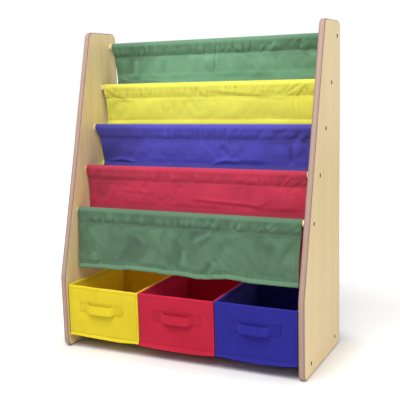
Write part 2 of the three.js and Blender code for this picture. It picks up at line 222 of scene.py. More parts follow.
def place_camera():
    data = bpy.data.cameras.new("camera")
    data.lens = CAMERA_LENS
    data.sensor_width = 36
    data.clip_end = 50
    camera = bpy.data.objects.new("camera", data)
    yaw = Matrix.Rotation(CAMERA_YAW, 4, "Z")
    pitch = Matrix.Rotation(math.pi / 2 - CAMERA_PITCH, 4, "X")
    roll = Matrix.Rotation(CAMERA_ROLL, 4, "Z")
    camera.matrix_world = Matrix.Translation(CAMERA_PLACE) @ yaw @ pitch @ roll
    scene.collection.objects.link(camera)
    scene.camera = camera
    scene.view_settings.view_transform = "Standard"


def hang_softbox(name, place, size, watts):
    data = bpy.data.lights.new(name, "AREA")
    data.shape = "RECTANGLE"
    data.size, data.size_y = size
    data.energy = watts
    lamp = bpy.data.objects.new(name, data)
    aim = (SHELF_MIDDLE - Vector(place)).to_track_quat("-Z", "Y")
    lamp.matrix_world = Matrix.Translation(place) @ aim.to_matrix().to_4x4()
    scene.collection.objects.link(lamp)


def light_studio():
    """Four softboxes, and a world that lights the shelf softly and shows as a white backdrop."""
    for name, (place, size, watts) in SOFTBOXES.items():
        hang_softbox(name, place, size, watts)
    world = bpy.data.worlds.new("studio")
    world.use_nodes = True
    scene.world = world
    nodes = Nodes(world.node_tree)
    nodes.tree.nodes.clear()
    rays = nodes.add("ShaderNodeLightPath").outputs
    mirrored = nodes.sum_of("MAXIMUM", rays["Is Glossy Ray"], rays["Is Transmission Ray"])
    choose = nodes.add("ShaderNodeMixShader")
    nodes.feed(choose, Fac=nodes.sum_of("MAXIMUM", rays["Is Camera Ray"], mirrored))
    for socket, strength in zip(choose.inputs[1:], (FILL_STRENGTH, BACKDROP_STRENGTH)):
        light = nodes.add("ShaderNodeBackground")
        nodes.feed(light, Color=(1, 1, 1, 1), Strength=strength)
        nodes.join(light.outputs[0], socket)
    nodes.join(choose.outputs[0], nodes.add("ShaderNodeOutputWorld").inputs["Surface"])


def lay_floor():
    bm = bmesh.new()
    bmesh.ops.create_grid(bm, x_segments=1, y_segments=1, size=FLOOR_HALF_WIDTH)
    mesh = bpy.data.meshes.new("floor")
    bm.to_mesh(mesh)
    bm.free()
    floor = bpy.data.objects.new("floor", mesh)
    floor.location.z = -FLOOR_DROP
    scene.collection.objects.link(floor)
    mesh.materials.append(floor_paper())


def away_from_shelf(nodes, place):
    """How far a place on the floor lies outside a line that runs inside the shelf's outline."""
    parts = nodes.split(place)
    outside = []
    for axis, reach in zip("XY", cad_box[1]):
        past = nodes.sum_of("SUBTRACT", nodes.sum_of("ABSOLUTE", parts[axis]), reach - FLOOR_INSET)
        outside.append(nodes.sum_of("MAXIMUM", past, 0.0))
    return nodes.length_of(*outside)


def floor_paper():
    """White paper that keeps its shadows near the shelf, with a purple painted shadow under it, and
    fades into the white backdrop.
    """
    paper = bpy.data.materials.new("white_paper")
    paper.use_nodes = True
    nodes = Nodes(paper.node_tree)
    nodes.tree.nodes.clear()
    place = nodes.add("ShaderNodeTexCoord").outputs["Object"]
    away = away_from_shelf(nodes, place)
    strength = 0.0
    for start, end, most in FLOOR_GLOWS:
        strength = nodes.sum_of("ADD", strength, nodes.spread(away, start, end, 0.0, most))
    seen = nodes.add("ShaderNodeLightPath").outputs["Is Camera Ray"]
    glow = nodes.add("ShaderNodeEmission")
    nodes.feed(glow, Strength=nodes.sum_of("MULTIPLY", seen, strength))
    white = nodes.blend(*FLOOR_WHITES, nodes.speckle(place, 60, 3.0))
    matt = nodes.add("ShaderNodeBsdfDiffuse")
    # painted shadow: the paper's colour turns purple-grey under the shelf
    nodes.feed(matt, Color=nodes.blend(FLOOR_PAINTED_SHADOW, white, nodes.spread(away, -10 * MM, 15 * MM)))
    both = nodes.add("ShaderNodeAddShader")
    for shader, socket in zip((matt, glow), both.inputs):
        nodes.join(shader.outputs[0], socket)
    nodes.join(both.outputs[0], nodes.add("ShaderNodeOutputMaterial").inputs["Surface"])
    return paper


# Shared finish effects, each a node group

def effect(name, lengths, results):
    """Starts a group that takes a place and some lengths or scales and gives out values. Returns its
    nodes, what it is given and the node that takes its results."""
    tree = bpy.data.node_groups.new(name, "ShaderNodeTree")
    tree.interface.new_socket("Place", in_out="INPUT", socket_type="NodeSocketVector")
    for socket_name, value in lengths.items():
        socket = tree.interface.new_socket(socket_name, in_out="INPUT", socket_type="NodeSocketFloat")
        socket.default_value = value
    for socket_name in results:
        tree.interface.new_socket(socket_name, in_out="OUTPUT", socket_type="NodeSocketFloat")
    nodes = Nodes(tree)
    return nodes, nodes.add("NodeGroupInput").outputs, nodes.add("NodeGroupOutput")


def plain_weave():
    """Threads over and under each other, with thicker and thinner threads among them."""
    nodes, given, result = effect("plain_weave", {"Thread Pitch": 0.55 * MM}, ["Height", "Slub"])
    parts = nodes.split(given["Place"])
    turn = nodes.sum_of("DIVIDE", math.pi, given["Thread Pitch"])
    waves = [nodes.sum_of("SINE", nodes.sum_of("MULTIPLY", parts[axis], turn)) for axis in "XY"]
    crossing = nodes.sum_of("ABSOLUTE", nodes.sum_of("MULTIPLY", *waves))
    warp = nodes.speckle(nodes.stretched(given["Place"], (900, 12, 1)), 1.0, 1.0)
    weft = nodes.speckle(nodes.stretched(given["Place"], (12, 900, 1)), 1.0, 1.0)
    slub = nodes.sum_of("MULTIPLY", nodes.sum_of("ADD", warp, weft), 0.5)
    nodes.feed(result, Height=nodes.sum_of("MULTIPLY_ADD", crossing, 0.6, slub), Slub=slub)
    return nodes.tree


def pressed_felt():
    """Bonded felt: tangled fibres with small pressed dots in rows."""
    nodes, given, result = effect("pressed_felt", {"Dot Pitch": 1.3 * MM}, ["Height", "Fibres"])
    parts = nodes.split(given["Place"])
    turn = nodes.sum_of("DIVIDE", 2 * math.pi, given["Dot Pitch"])
    slopes = [nodes.sum_of(operation, parts["X"], parts["Y"]) for operation in ("ADD", "SUBTRACT")]
    waves = [nodes.sum_of("COSINE", nodes.sum_of("MULTIPLY", slope, turn)) for slope in slopes]
    dots = nodes.spread(nodes.sum_of("ADD", *waves), 0.7, 1.8)
    fibres = nodes.speckle(given["Place"], 2600, 3.0, 0.7, 1.5)
    height = nodes.sum_of("SUBTRACT", fibres, nodes.sum_of("MULTIPLY", dots, 0.8))
    nodes.feed(result, Height=height, Fibres=fibres)
    return nodes.tree


def board_grain():
    """Fine upright grain of pale veneer, with broad light and dark bands."""
    nodes, given, result = effect("board_grain", {}, ["Bands", "Pores", "Height"])
    bands = nodes.speckle(nodes.stretched(given["Place"], (6, 38, 1.1)), 1.0, 3.0, 0.55, 0.5)
    streaks = nodes.speckle(nodes.stretched(given["Place"], (60, 420, 3.5)), 1.0, 3.0, 0.6, 0.25)
    pores = nodes.speckle(nodes.stretched(given["Place"], (400, 2200, 26)), 1.0, 1.0)
    together = nodes.sum_of("MULTIPLY_ADD", streaks, 0.45, nodes.sum_of("MULTIPLY", bands, 0.55))
    flecks = nodes.spread(pores, 0.56, 0.74)
    height = nodes.sum_of("MULTIPLY_ADD", flecks, -0.5, streaks)
    nodes.feed(result, Bands=together, Pores=flecks, Height=height)
    return nodes.tree


def shade_change():
    """A slow change of shade over a piece, from 0 to 1."""
    nodes, given, result = effect("shade_change", {"Size": 9.0}, ["Shade"])
    broad = nodes.speckle(given["Place"], given["Size"], 3.0, 0.55)
    nodes.feed(result, Shade=nodes.spread(broad, 0.3, 0.7))
    return nodes.tree


EFFECTS = {make.__name__: make() for make in (plain_weave, pressed_felt, board_grain, shade_change)}


# How sharp a fold has to be for its full painted shade, as keep_folds stores it
FOLD_RANGE = 0.16


class Finish(Nodes):
    """One material: a principled shader and the nodes that feed it."""

    def __init__(self, name, roughness, **constants):
        self.material = bpy.data.materials.new(name)
        self.material.use_nodes = True
        super().__init__(self.material.node_tree)
        self.tree.nodes.clear()
        self.shader = self.add("ShaderNodeBsdfPrincipled")
        output = self.add("ShaderNodeOutputMaterial")
        self.join(self.shader.outputs[0], output.inputs["Surface"])
        self.feed(self.shader, Roughness=roughness, **constants)
        coordinates = self.add("ShaderNodeTexCoord").outputs
        self.place, self.flat_place = coordinates["Object"], coordinates["UV"]

    def use(self, effect_name, **values):
        node = self.add("ShaderNodeGroup")
        node.node_tree = EFFECTS[effect_name]
        self.feed(node, **values)
        return node.outputs

    def shade_folds(self, cloth, darkest, lightest):
        """Paints shade into the cloth's valleys and light onto its ridges."""
        painted_fold_shade = self.add("ShaderNodeAttribute", attribute_name="painted_fold_shade").outputs["Fac"]
        in_valley = self.spread(painted_fold_shade, -FOLD_RANGE, 0.0, darkest, 1.0)
        on_ridge = self.spread(painted_fold_shade, 0.0, FOLD_RANGE, 1.0, lightest)
        return self.blend(cloth, self.sum_of("MULTIPLY", in_valley, on_ridge), 1.0, "MULTIPLY")

    def finished(self, colour, height=None, strength=0.0, distance=0.0):
        """Gives the shader its colour and its fine relief, and returns the material."""
        self.feed(self.shader, Base_Color=colour)
        if height is not None:
            self.feed(self.shader, Normal=self.bump(height, strength, distance))
        return self.material


# Finishes of the frame

def panel_finish():
    """Pale veneer on both faces, and a pinkish brown core that shows round the rounded edges."""
    finish = Finish("veneered_board", 0.42, Coat_Weight=0.12, Coat_Roughness=0.25)
    grain = finish.use("board_grain", Place=finish.place)
    parts = finish.split(finish.place)
    low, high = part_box("side_panel_right")
    half = (high.x - low.x) / 2
    from_middle = finish.sum_of("SUBTRACT", finish.sum_of("ABSOLUTE", parts["X"]), high.x - half)
    from_middle = finish.sum_of("ABSOLUTE", from_middle)
    skin = finish.spread(from_middle, half - 0.4 * MM, half - 0.15 * MM)
    # painted shade: a dark brown line down the rounded edges, 1.3 mm in from each face
    roundover_shade = finish.near(from_middle, half - 1.3 * MM, 0.9 * MM)
    board = finish.blend(board_core(finish, from_middle), veneer(finish, grain), skin)
    board = finish.stain(board, (112, 78, 60), roundover_shade, 0.8)
    board = paint_highlight_round_screws(finish, board, parts)
    finish.feed(finish.shader, Roughness=finish.spread(skin, 0, 1, 0.62, 0.42))
    return finish.finished(board, grain["Height"], 0.12, 0.15 * MM)


def veneer(finish, grain):
    shade = finish.use("shade_change", Place=finish.place, Size=5.0)
    streaks = finish.spread(grain["Bands"], 0.27, 0.73)
    wood = finish.blend(paint((231, 210, 156)), paint((216, 188, 131)), streaks)
    wood = finish.stain(wood, (227, 198, 154), shade["Shade"], 0.3)
    return finish.stain(wood, (194, 159, 105), grain["Pores"], 0.3)


def board_core(finish, from_middle):
    heart = finish.spread(from_middle, 0.5 * MM, 3.0 * MM)
    core = finish.blend(paint((178, 152, 130)), paint((167, 137, 127)), heart)
    return finish.stain(core, (146, 115, 102), finish.speckle(finish.place, 900, 2.0, 0.6), 0.35)


def paint_highlight_round_screws(finish, colour, parts):
    """Paints a paler ring on the veneer round each screw head: a painted highlight."""
    highlight_ring = 0.0
    for name in (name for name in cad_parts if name.startswith("screw_right_")):
        low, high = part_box(name)
        middle = (low + high) / 2
        back = finish.sum_of("SUBTRACT", parts["Y"], middle.y)
        up = finish.sum_of("SUBTRACT", parts["Z"], middle.z)
        edge = finish.near(finish.length_of(back, up), 6.6 * MM, 1.6 * MM)
        highlight_ring = finish.sum_of("MAXIMUM", highlight_ring, edge)
    return finish.stain(colour, (245, 228, 186), highlight_ring, 0.7)


def rod_finish():
    finish = Finish("pale_dowel", 0.48)
    streaks = finish.speckle(finish.stretched(finish.place, (7, 260, 260)), 1.0, 3.0, 0.55, 0.2)
    pores = finish.speckle(finish.stretched(finish.place, (60, 2600, 2600)), 1.0, 1.0)
    wood = finish.blend(paint((245, 230, 186)), paint((227, 202, 147)), streaks)
    wood = finish.stain(wood, (190, 157, 105), finish.spread(pores, 0.6, 0.78), 0.35)
    return finish.finished(wood, streaks, 0.1, 0.2 * MM)


def screw_finish():
    finish = Finish("bronzed_screw", 0.38, Metallic=0.85)
    wear = finish.speckle(finish.place, 700, 4.0, 0.65)
    metal = finish.blend(paint((82, 58, 44)), paint((140, 104, 78)), finish.spread(wear, 0.52, 0.72))
    finish.feed(finish.shader, Roughness=finish.spread(wear, 0.3, 0.7, 0.3, 0.55))
    return finish.finished(metal, wear, 0.08, 0.1 * MM)


def pulp_board_finish():
    finish = Finish("grey_board", 0.85)
    fibres = finish.speckle(finish.place, 1400, 4.0, 0.7, 1.0)
    pulp = finish.blend(paint((176, 160, 138)), paint((140, 126, 108)), finish.spread(fibres, 0.3, 0.7))
    return finish.finished(pulp, fibres, 0.2, 0.1 * MM)


# Finishes of the cloth

def sling_finish(name, light, dark, painted_backlight=None):
    """Plain-woven cloth. Threads, slubs and slow changes of shade run over it. Painted_backlight, for
    cloth with light behind it, is painted light: how much lighter it is above and below its sleeve's seam."""
    finish = Finish(name, 0.82, Sheen_Weight=0.18, Sheen_Roughness=0.45)
    weave = finish.use("plain_weave", Place=finish.flat_place, Thread_Pitch=0.55 * MM)
    shade = finish.use("shade_change", Place=finish.place, Size=11.0)
    cloth = finish.stain(paint(light), dark, shade["Shade"], 0.35)
    threads = finish.spread(weave["Slub"], 0.35, 0.65, 0.0, 0.15)
    cloth = finish.blend(cloth, paint(dark), threads)
    cloth = finish.shade_folds(cloth, 0.62, 1.25)
    if painted_backlight:
        in_sleeve, below = painted_backlight
        # painted light: lighter where light would come through the top panel from behind
        painted_backlight_gain = finish.blend((*in_sleeve, 1), (*below, 1), painted_light_through(finish))
        cloth = finish.blend(cloth, painted_backlight_gain, 1.0, "MULTIPLY")
    return finish.finished(cloth, weave["Height"], 0.35, 0.12 * MM)


def painted_light_through(finish):
    """Where light is painted onto the top panel, for light through it from behind: below its sleeve,
    and less so at its ends.
    """
    seam = sleeve_seam(0).y * MM
    parts = finish.split(finish.place)
    below = finish.spread(parts["Z"], seam, seam - 3 * MM)
    from_left = finish.spread(parts["X"], -290 * MM, -100 * MM, 0.25, 1.0)
    from_right = finish.spread(parts["X"], 60 * MM, 290 * MM, 1.0, 0.55)
    return finish.sum_of("MULTIPLY", finish.sum_of("MULTIPLY", below, from_left), from_right)


def bin_finish(name, light, dark):
    """Pressed felt, with its fibres and its rows of small dots."""
    finish = Finish(name, 0.9, Sheen_Weight=0.03, Sheen_Roughness=0.5, Specular_IOR_Level=0.2)
    felt = finish.use("pressed_felt", Place=finish.flat_place, Dot_Pitch=1.3 * MM)
    shade = finish.use("shade_change", Place=finish.place, Size=14.0)
    cloth = finish.stain(paint(light), dark, shade["Shade"], 0.4)
    cloth = finish.blend(cloth, paint(dark), finish.spread(felt["Fibres"], 0.35, 0.7, 0.0, 0.4))
    cloth = finish.shade_folds(cloth, 0.6, 1.25)
    return finish.finished(cloth, felt["Height"], 0.3, 0.1 * MM)


def thread_finish(name, colour):
    finish = Finish(name, 0.6)
    twist = finish.speckle(finish.place, 3000, 1.0)
    return finish.finished(finish.blend(paint(colour), paint([part * 0.8 for part in colour]), twist))


# A light and a dark paint for each cloth, and one paint for the thread of each bin, darker than its
# felt: partly the thread's colour and partly painted shade in its needle holes
SLING_PAINTS = {
    "green": ((89, 126, 97), (66, 98, 74)),
    "yellow": ((235, 231, 90), (219, 209, 62)),
    "blue": ((76, 71, 184), (57, 52, 155)),
    "red": ((196, 40, 73), (168, 27, 57)),
}
BIN_PAINTS = {
    "yellow": ((225, 204, 44), (205, 182, 32)),
    "red": ((193, 34, 61), (166, 25, 51)),
    "blue": ((44, 42, 147), (33, 31, 122)),
}
LINING_PAINTS = {
    "yellow": ((240, 207, 30), (220, 186, 20)),
    "red": ((206, 24, 76), (180, 18, 64)),
    "blue": ((52, 46, 140), (40, 35, 118)),
}
BIN_THREAD_AND_SHADE_PAINTS = {"yellow": (196, 166, 24), "red": (140, 18, 42), "blue": (26, 23, 98)}

# Painted light on the top panel, for light that comes through it from behind: how much lighter it is
# in its sleeve and below it, in red, green and blue
TOP_PANEL_PAINTED_LIGHT = ((1.31, 1.39, 1.39), (1.83, 1.87, 1.95))


# Pieces

def finished_piece(name, bm, finish, body, stands_for=(), thickness=None):
    """Turns a bmesh into a piece that rides on a body, with its walls given their thickness."""
    mesh = bpy.data.meshes.new(name)
    bm.to_mesh(mesh)
    bm.free()
    for polygon in mesh.polygons:
        polygon.use_smooth = True
    mesh.materials.append(finish)
    piece = bpy.data.objects.new(name, mesh)
    scene.collection.objects.link(piece)
    if thickness:
        wall = piece.modifiers.new("cloth", "SOLIDIFY")
        wall.thickness = thickness
        wall.offset = 0
    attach(piece, body)
    if stands_for:
        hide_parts(*stands_for)
    return piece


def spread_cloth(bm, columns, rows, place, outward, flat_place=None, stands=None):
    """Lays a grid over the surface that place(across, along) gives. Columns and rows are lists of
    lengths on the flat cloth, in metres, as its UV map is. Its faces are turned to the side that
    outward points to. Stands, where given, is a list that place adds to: how far each place stands
    out and how shaded it is."""
    uv = bm.loops.layers.uv.verify()
    painted_fold_shade = bm.verts.layers.float.new("painted_fold_shade") if stands is not None else None
    steps_across, steps_along = len(columns) - 1, len(rows) - 1
    grid = bmesh.ops.create_grid(bm, x_segments=steps_across, y_segments=steps_along, size=0.5)
    made = grid["verts"]
    flat = {}
    for vertex in made:
        across = columns[round((vertex.co.x + 0.5) * steps_across)]
        along = rows[round((vertex.co.y + 0.5) * steps_along)]
        flat[vertex] = flat_place(across, along) if flat_place else (across, along)
        vertex.co = place(across, along)
    faces = list({face for vertex in made for face in vertex.link_faces})
    facing = 0.0
    for face in faces:
        face.normal_update()
        facing += face.normal.dot(outward(face.calc_center_median())) * face.calc_area()
        for loop in face.loops:
            loop[uv].uv = flat[loop.vert]
    if facing < 0:
        bmesh.ops.reverse_faces(bm, faces=faces)
    if stands:
        keep_folds(painted_fold_shade, made, stands)


def keep_folds(painted_fold_shade, made, stands):
    """Stores how sharply the cloth is folded at each place, above 0 on a ridge and below 0 in a
    valley, less how shaded it is. From it the finish paints shade in valleys and light on ridges."""
    height = {vertex: stand for vertex, (stand, shaded) in zip(made, stands)}
    for vertex, (stand, shaded) in zip(made, stands):
        slopes, lengths = 0.0, 0.0
        for edge in vertex.link_edges:
            beside = edge.other_vert(vertex)
            length = (beside.co - vertex.co).length / MM
            slopes += (stand - height[beside]) / max(length, 0.1)
            lengths += length / 2
        vertex[painted_fold_shade] = slopes / lengths - shaded


def close_tube(bm):
    """Closes the open ends of a piece and turns its faces outward."""
    bmesh.ops.holes_fill(bm, edges=[edge for edge in bm.edges if edge.is_boundary], sides=0)
    bmesh.ops.recalc_face_normals(bm, faces=bm.faces[:])


def even(start, end, step):
    """Lengths from start to end in equal steps of about the one given."""
    count = max(round(abs(end - start) / step), 1)
    return [lerp(start, end, index / count) for index in range(count + 1)]


def joined_lengths(*lists):
    """Lists of millimetres as one rising list of metres, with near repeats left out."""
    result = []
    for value in sorted(value for part in lists for value in part):
        if not result or value - result[-1] > 0.05:
            result.append(value)
    return [value * MM for value in result]


def value_at(table, across):
    """Reads a table of (millimetres across, value), eased between its rows."""
    for (start, low), (end, high) in zip(table, table[1:]):
        if across <= end:
            return lerp(low, high, smoothstep(start, end, across))
    return table[-1][1]


def crease_height(line, height, width, across, drop):
    """How far one crease lifts the cloth at a place."""
    nearest, share = 1e9, 0.0
    total = len(line) - 1
    for index in range(total):
        (x0, y0), (x1, y1) = line[index], line[index + 1]
        dx, dy = x1 - x0, y1 - y0
        part = limit(((across - x0) * dx + (drop - y0) * dy) / (dx * dx + dy * dy), 0.0, 1.0)
        distance = math.hypot(across - x0 - dx * part, drop - y0 - dy * part)
        if distance < nearest:
            nearest, share = distance, (index + part) / total
    if nearest > 3 * width:
        return 0.0
    fade = smoothstep(-0.06, 0.3, share) * smoothstep(-0.06, 0.3, 1 - share)
    return height * bell(nearest, 1.35 * width) * fade


def creases_at(creases, across, drop):
    """How far all the creases in a list lift the cloth at a place."""
    return sum(crease_height(line, lift, half_width, across, drop) for line, lift, half_width in creases)


# Stitches

def stitch_places(surface, start, end, pitch, lift):
    """Where stitches lie from start to end on a surface: their place, direction and normal."""
    count = max(int((end - start).length / pitch), 1)
    step = (end - start) / count
    beside_step = Vector((-step.y, step.x)) / step.length * 0.4 * MM
    for index in range(count):
        at = start + step * (index + 0.5)
        middle = surface(*at)
        along = surface(*(at + step * 0.4)) - surface(*(at - step * 0.4))
        normal = along.cross(surface(*(at + beside_step)) - middle).normalized()
        yield middle + normal * lift, along.normalized(), normal


def sew(bm, surface, start, end, stitch, lift):
    """Sews a row of stitches. Start and end are (across, along), and a stitch is the pitch from one
    to the next, its length and its thread's thickness, all in millimetres."""
    pitch, length, thread = (part * MM for part in stitch)
    scale = Matrix.Diagonal((length / 2, thread / 2, thread / 2, 1))
    start, end = Vector(start) * MM, Vector(end) * MM
    for place, along, normal in stitch_places(surface, start, end, pitch, lift * MM):
        across = normal.cross(along).normalized()
        up = along.cross(across).normalized()
        turn = Matrix((along, across, up)).transposed().to_4x4()
        set_down = Matrix.Translation(place) @ turn @ scale
        bmesh.ops.create_icosphere(bm, subdivisions=1, radius=1, matrix=set_down)


# Paths of cloth

class Path:
    """A bent line in depth and height, read by the length along it."""

    def __init__(self, points):
        self.points = points
        self.marks = [0.0]
        for before, after in zip(points, points[1:]):
            self.marks.append(self.marks[-1] + (after - before).length)
        self.length = self.marks[-1]
        self.normals = []
        for index in range(len(points)):
            along = points[min(index + 1, len(points) - 1)] - points[max(index - 1, 0)]
            self.normals.append(Vector((along.y, -along.x)).normalized())

    def at(self, length):
        """The point at a length along the path, and its normal."""
        length = limit(length, 0.0, self.length)
        low, high = 0, len(self.marks) - 1
        while high - low > 1:
            middle = (low + high) // 2
            if self.marks[middle] <= length:
                low = middle
            else:
                high = middle
        share = (length - self.marks[low]) / (self.marks[high] - self.marks[low])
        point = self.points[low].lerp(self.points[high], share)
        normal = self.normals[low].lerp(self.normals[high], share).normalized()
        return point, normal

    def nearest(self, target, start=0.0):
        """The length along the path at which it passes closest to a point."""
        choices = []
        for point, mark in zip(self.points, self.marks):
            if mark >= start:
                choices.append(((point - target).length, mark))
        return min(choices)[1]


def even_steps(points, step, rounds):
    """Steps of one length along a bent line, with its corners eased in so many rounds."""
    line = [points[0].copy()]
    for before, after in zip(points, points[1:]):
        count = max(round((after - before).length / step), 1)
        line += [before.lerp(after, share / count) for share in range(1, count + 1)]
    for _ in range(rounds):
        eased = [here / 2 + (before + after) / 4 for before, here, after in zip(line, line[1:], line[2:])]
        line = [line[0], *eased, line[-1]]
    return line


# Sling

# The panels by colour, from the top
SLING_COLOURS = ["green", "yellow", "blue", "red", "green"]
LOWEST = len(SLING_COLOURS) - 1

# Each sleeve's seam, pocket's foot and the hem's foot lie this far below the middle of their rod
SLEEVE_DROP = 27.5
BEND_DROP = 92
HEM_DROP = 142

# How far above its foot the hem is sewn, and how thick the cloth is
HEM_HEIGHT = 13
SLING_CLOTH = 0.9

# How far the cloth's tucked end hangs below its sleeve's seam, and how far its other end is sewn on
# past the foot of the next pocket. From SEWN_LENGTH before that end it lies against the next panel.
SLEEVE_TUCK = 7
SEAM_FLAP = 9
SEWN_LENGTH = 14

# How far behind its rod each panel's foot hangs, and the share of that at its sleeve's seam
PANEL_LEANS = [10, 6, 13, -2, -24]
SLEEVE_LEAN_SHARE = 0.3

# How far each panel's two ends are drawn in below its rod
EDGE_DRAWS = [2, 1, 5, 1, 3]

# How far each panel's left and right ends are pulled to the right, and how much more so below its
# pocket's foot
END_SHIFTS = [(1.5, 0), (0, 0), (-1.5, 0), (-4, 0), (-4.5, 3.7)]
RUN_SHIFTS = [(0, 0), (-6, 0), (0, 0), (0, 6), (0, 0)]

# How far each panel stands out at its pocket's foot
FOOT_FLARES = [0, 2.6, 0, 0, 0]

# How far each panel bows forward at its left end on its way down behind the next pocket
RUN_BOWS = [0, 17, 0, 0, 0]

# How far each sleeve's front bulges, and how far the short gathers above its seam stand out
SLEEVE_BULGES = [1.3, 1.2, 1.3, 1.5, 2.4]
SLEEVE_GATHERS = [3.6, 2.0, 4.0, 3.6, 4.2]

# How deep the fine wrinkles of each panel are, and how much its creases are raised
CRUMPLES = [3.0, 1.6, 3.2, 3.0, 3.2]
CREASE_GAINS = [1.6, 1.1, 1.8, 1.4, 1.8]

# How shaded each panel is down its sleeve, just above the sleeve's seam and just below it
SLEEVE_SHADES = [
    (0.05, 0.01, 0.05),
    (0.03, -0.02, 0.01),
    (0.06, 0.0, 0.08),
    (0.055, -0.01, 0.04),
    (0.11, 0.0, 0.04),
]

# How shaded each panel is towards its left and right ends
END_SHADES = [(0.12, 0.07), (0.07, 0.03), (0.22, 0.08), (0.1, 0.05), (0.03, 0.0)]

# How shaded each panel is just below its pocket's foot, and how much lighter just above it. The lowest
# panel is shaded below its sleeve's seam, and lighter at its hem.
FOOT_SHADES = [(0.05, 0.17), (0.07, 0.02), (0.17, 0.12), (0.12, 0.06)]
LOWEST_SHADE = 0.078
HEM_LIGHT = 0.2

# Layers of noise on the sling: how far apart its swells are across and down, its seed, and what is
# added to the seed from panel to panel
GATHERING = (55, 1, 60, 3.1)
BUNCHING = (26, 1, 120, 1)
PUCKERS = (14, 40, 0, 3.1)
FINE_PUCKERS = (7, 20, 7, 3.1)
RIBS = (15, 44, 99, 1)
CRESTS = (10, 1, 130, 1)
BROAD_WAVES = (95, 75, 20, 5.3)
FINE_WAVES = (22, 26, 40, 4.7)
CRUMPLING = (52, 110, 90, 1)
CROSS_CRUMPLING = (30, 55, 95, 1)
SCALLOPS = (24, 30, 81, 1)

# Steps of the sling's mesh across and along, and steps of its path round a rod
SLING_COLUMN = 2.9
SLING_ROW = 2.3
ROD_STEPS = 32

# Stitches by their pitch, length and thread: along the seams, and down the panels' ends at the place
# of their end hems
SEAM_STITCH = (3.2, 2.5, 0.55)
END_STITCH = (3.2, 2.5, 0.5)
END_HEM = 8.5

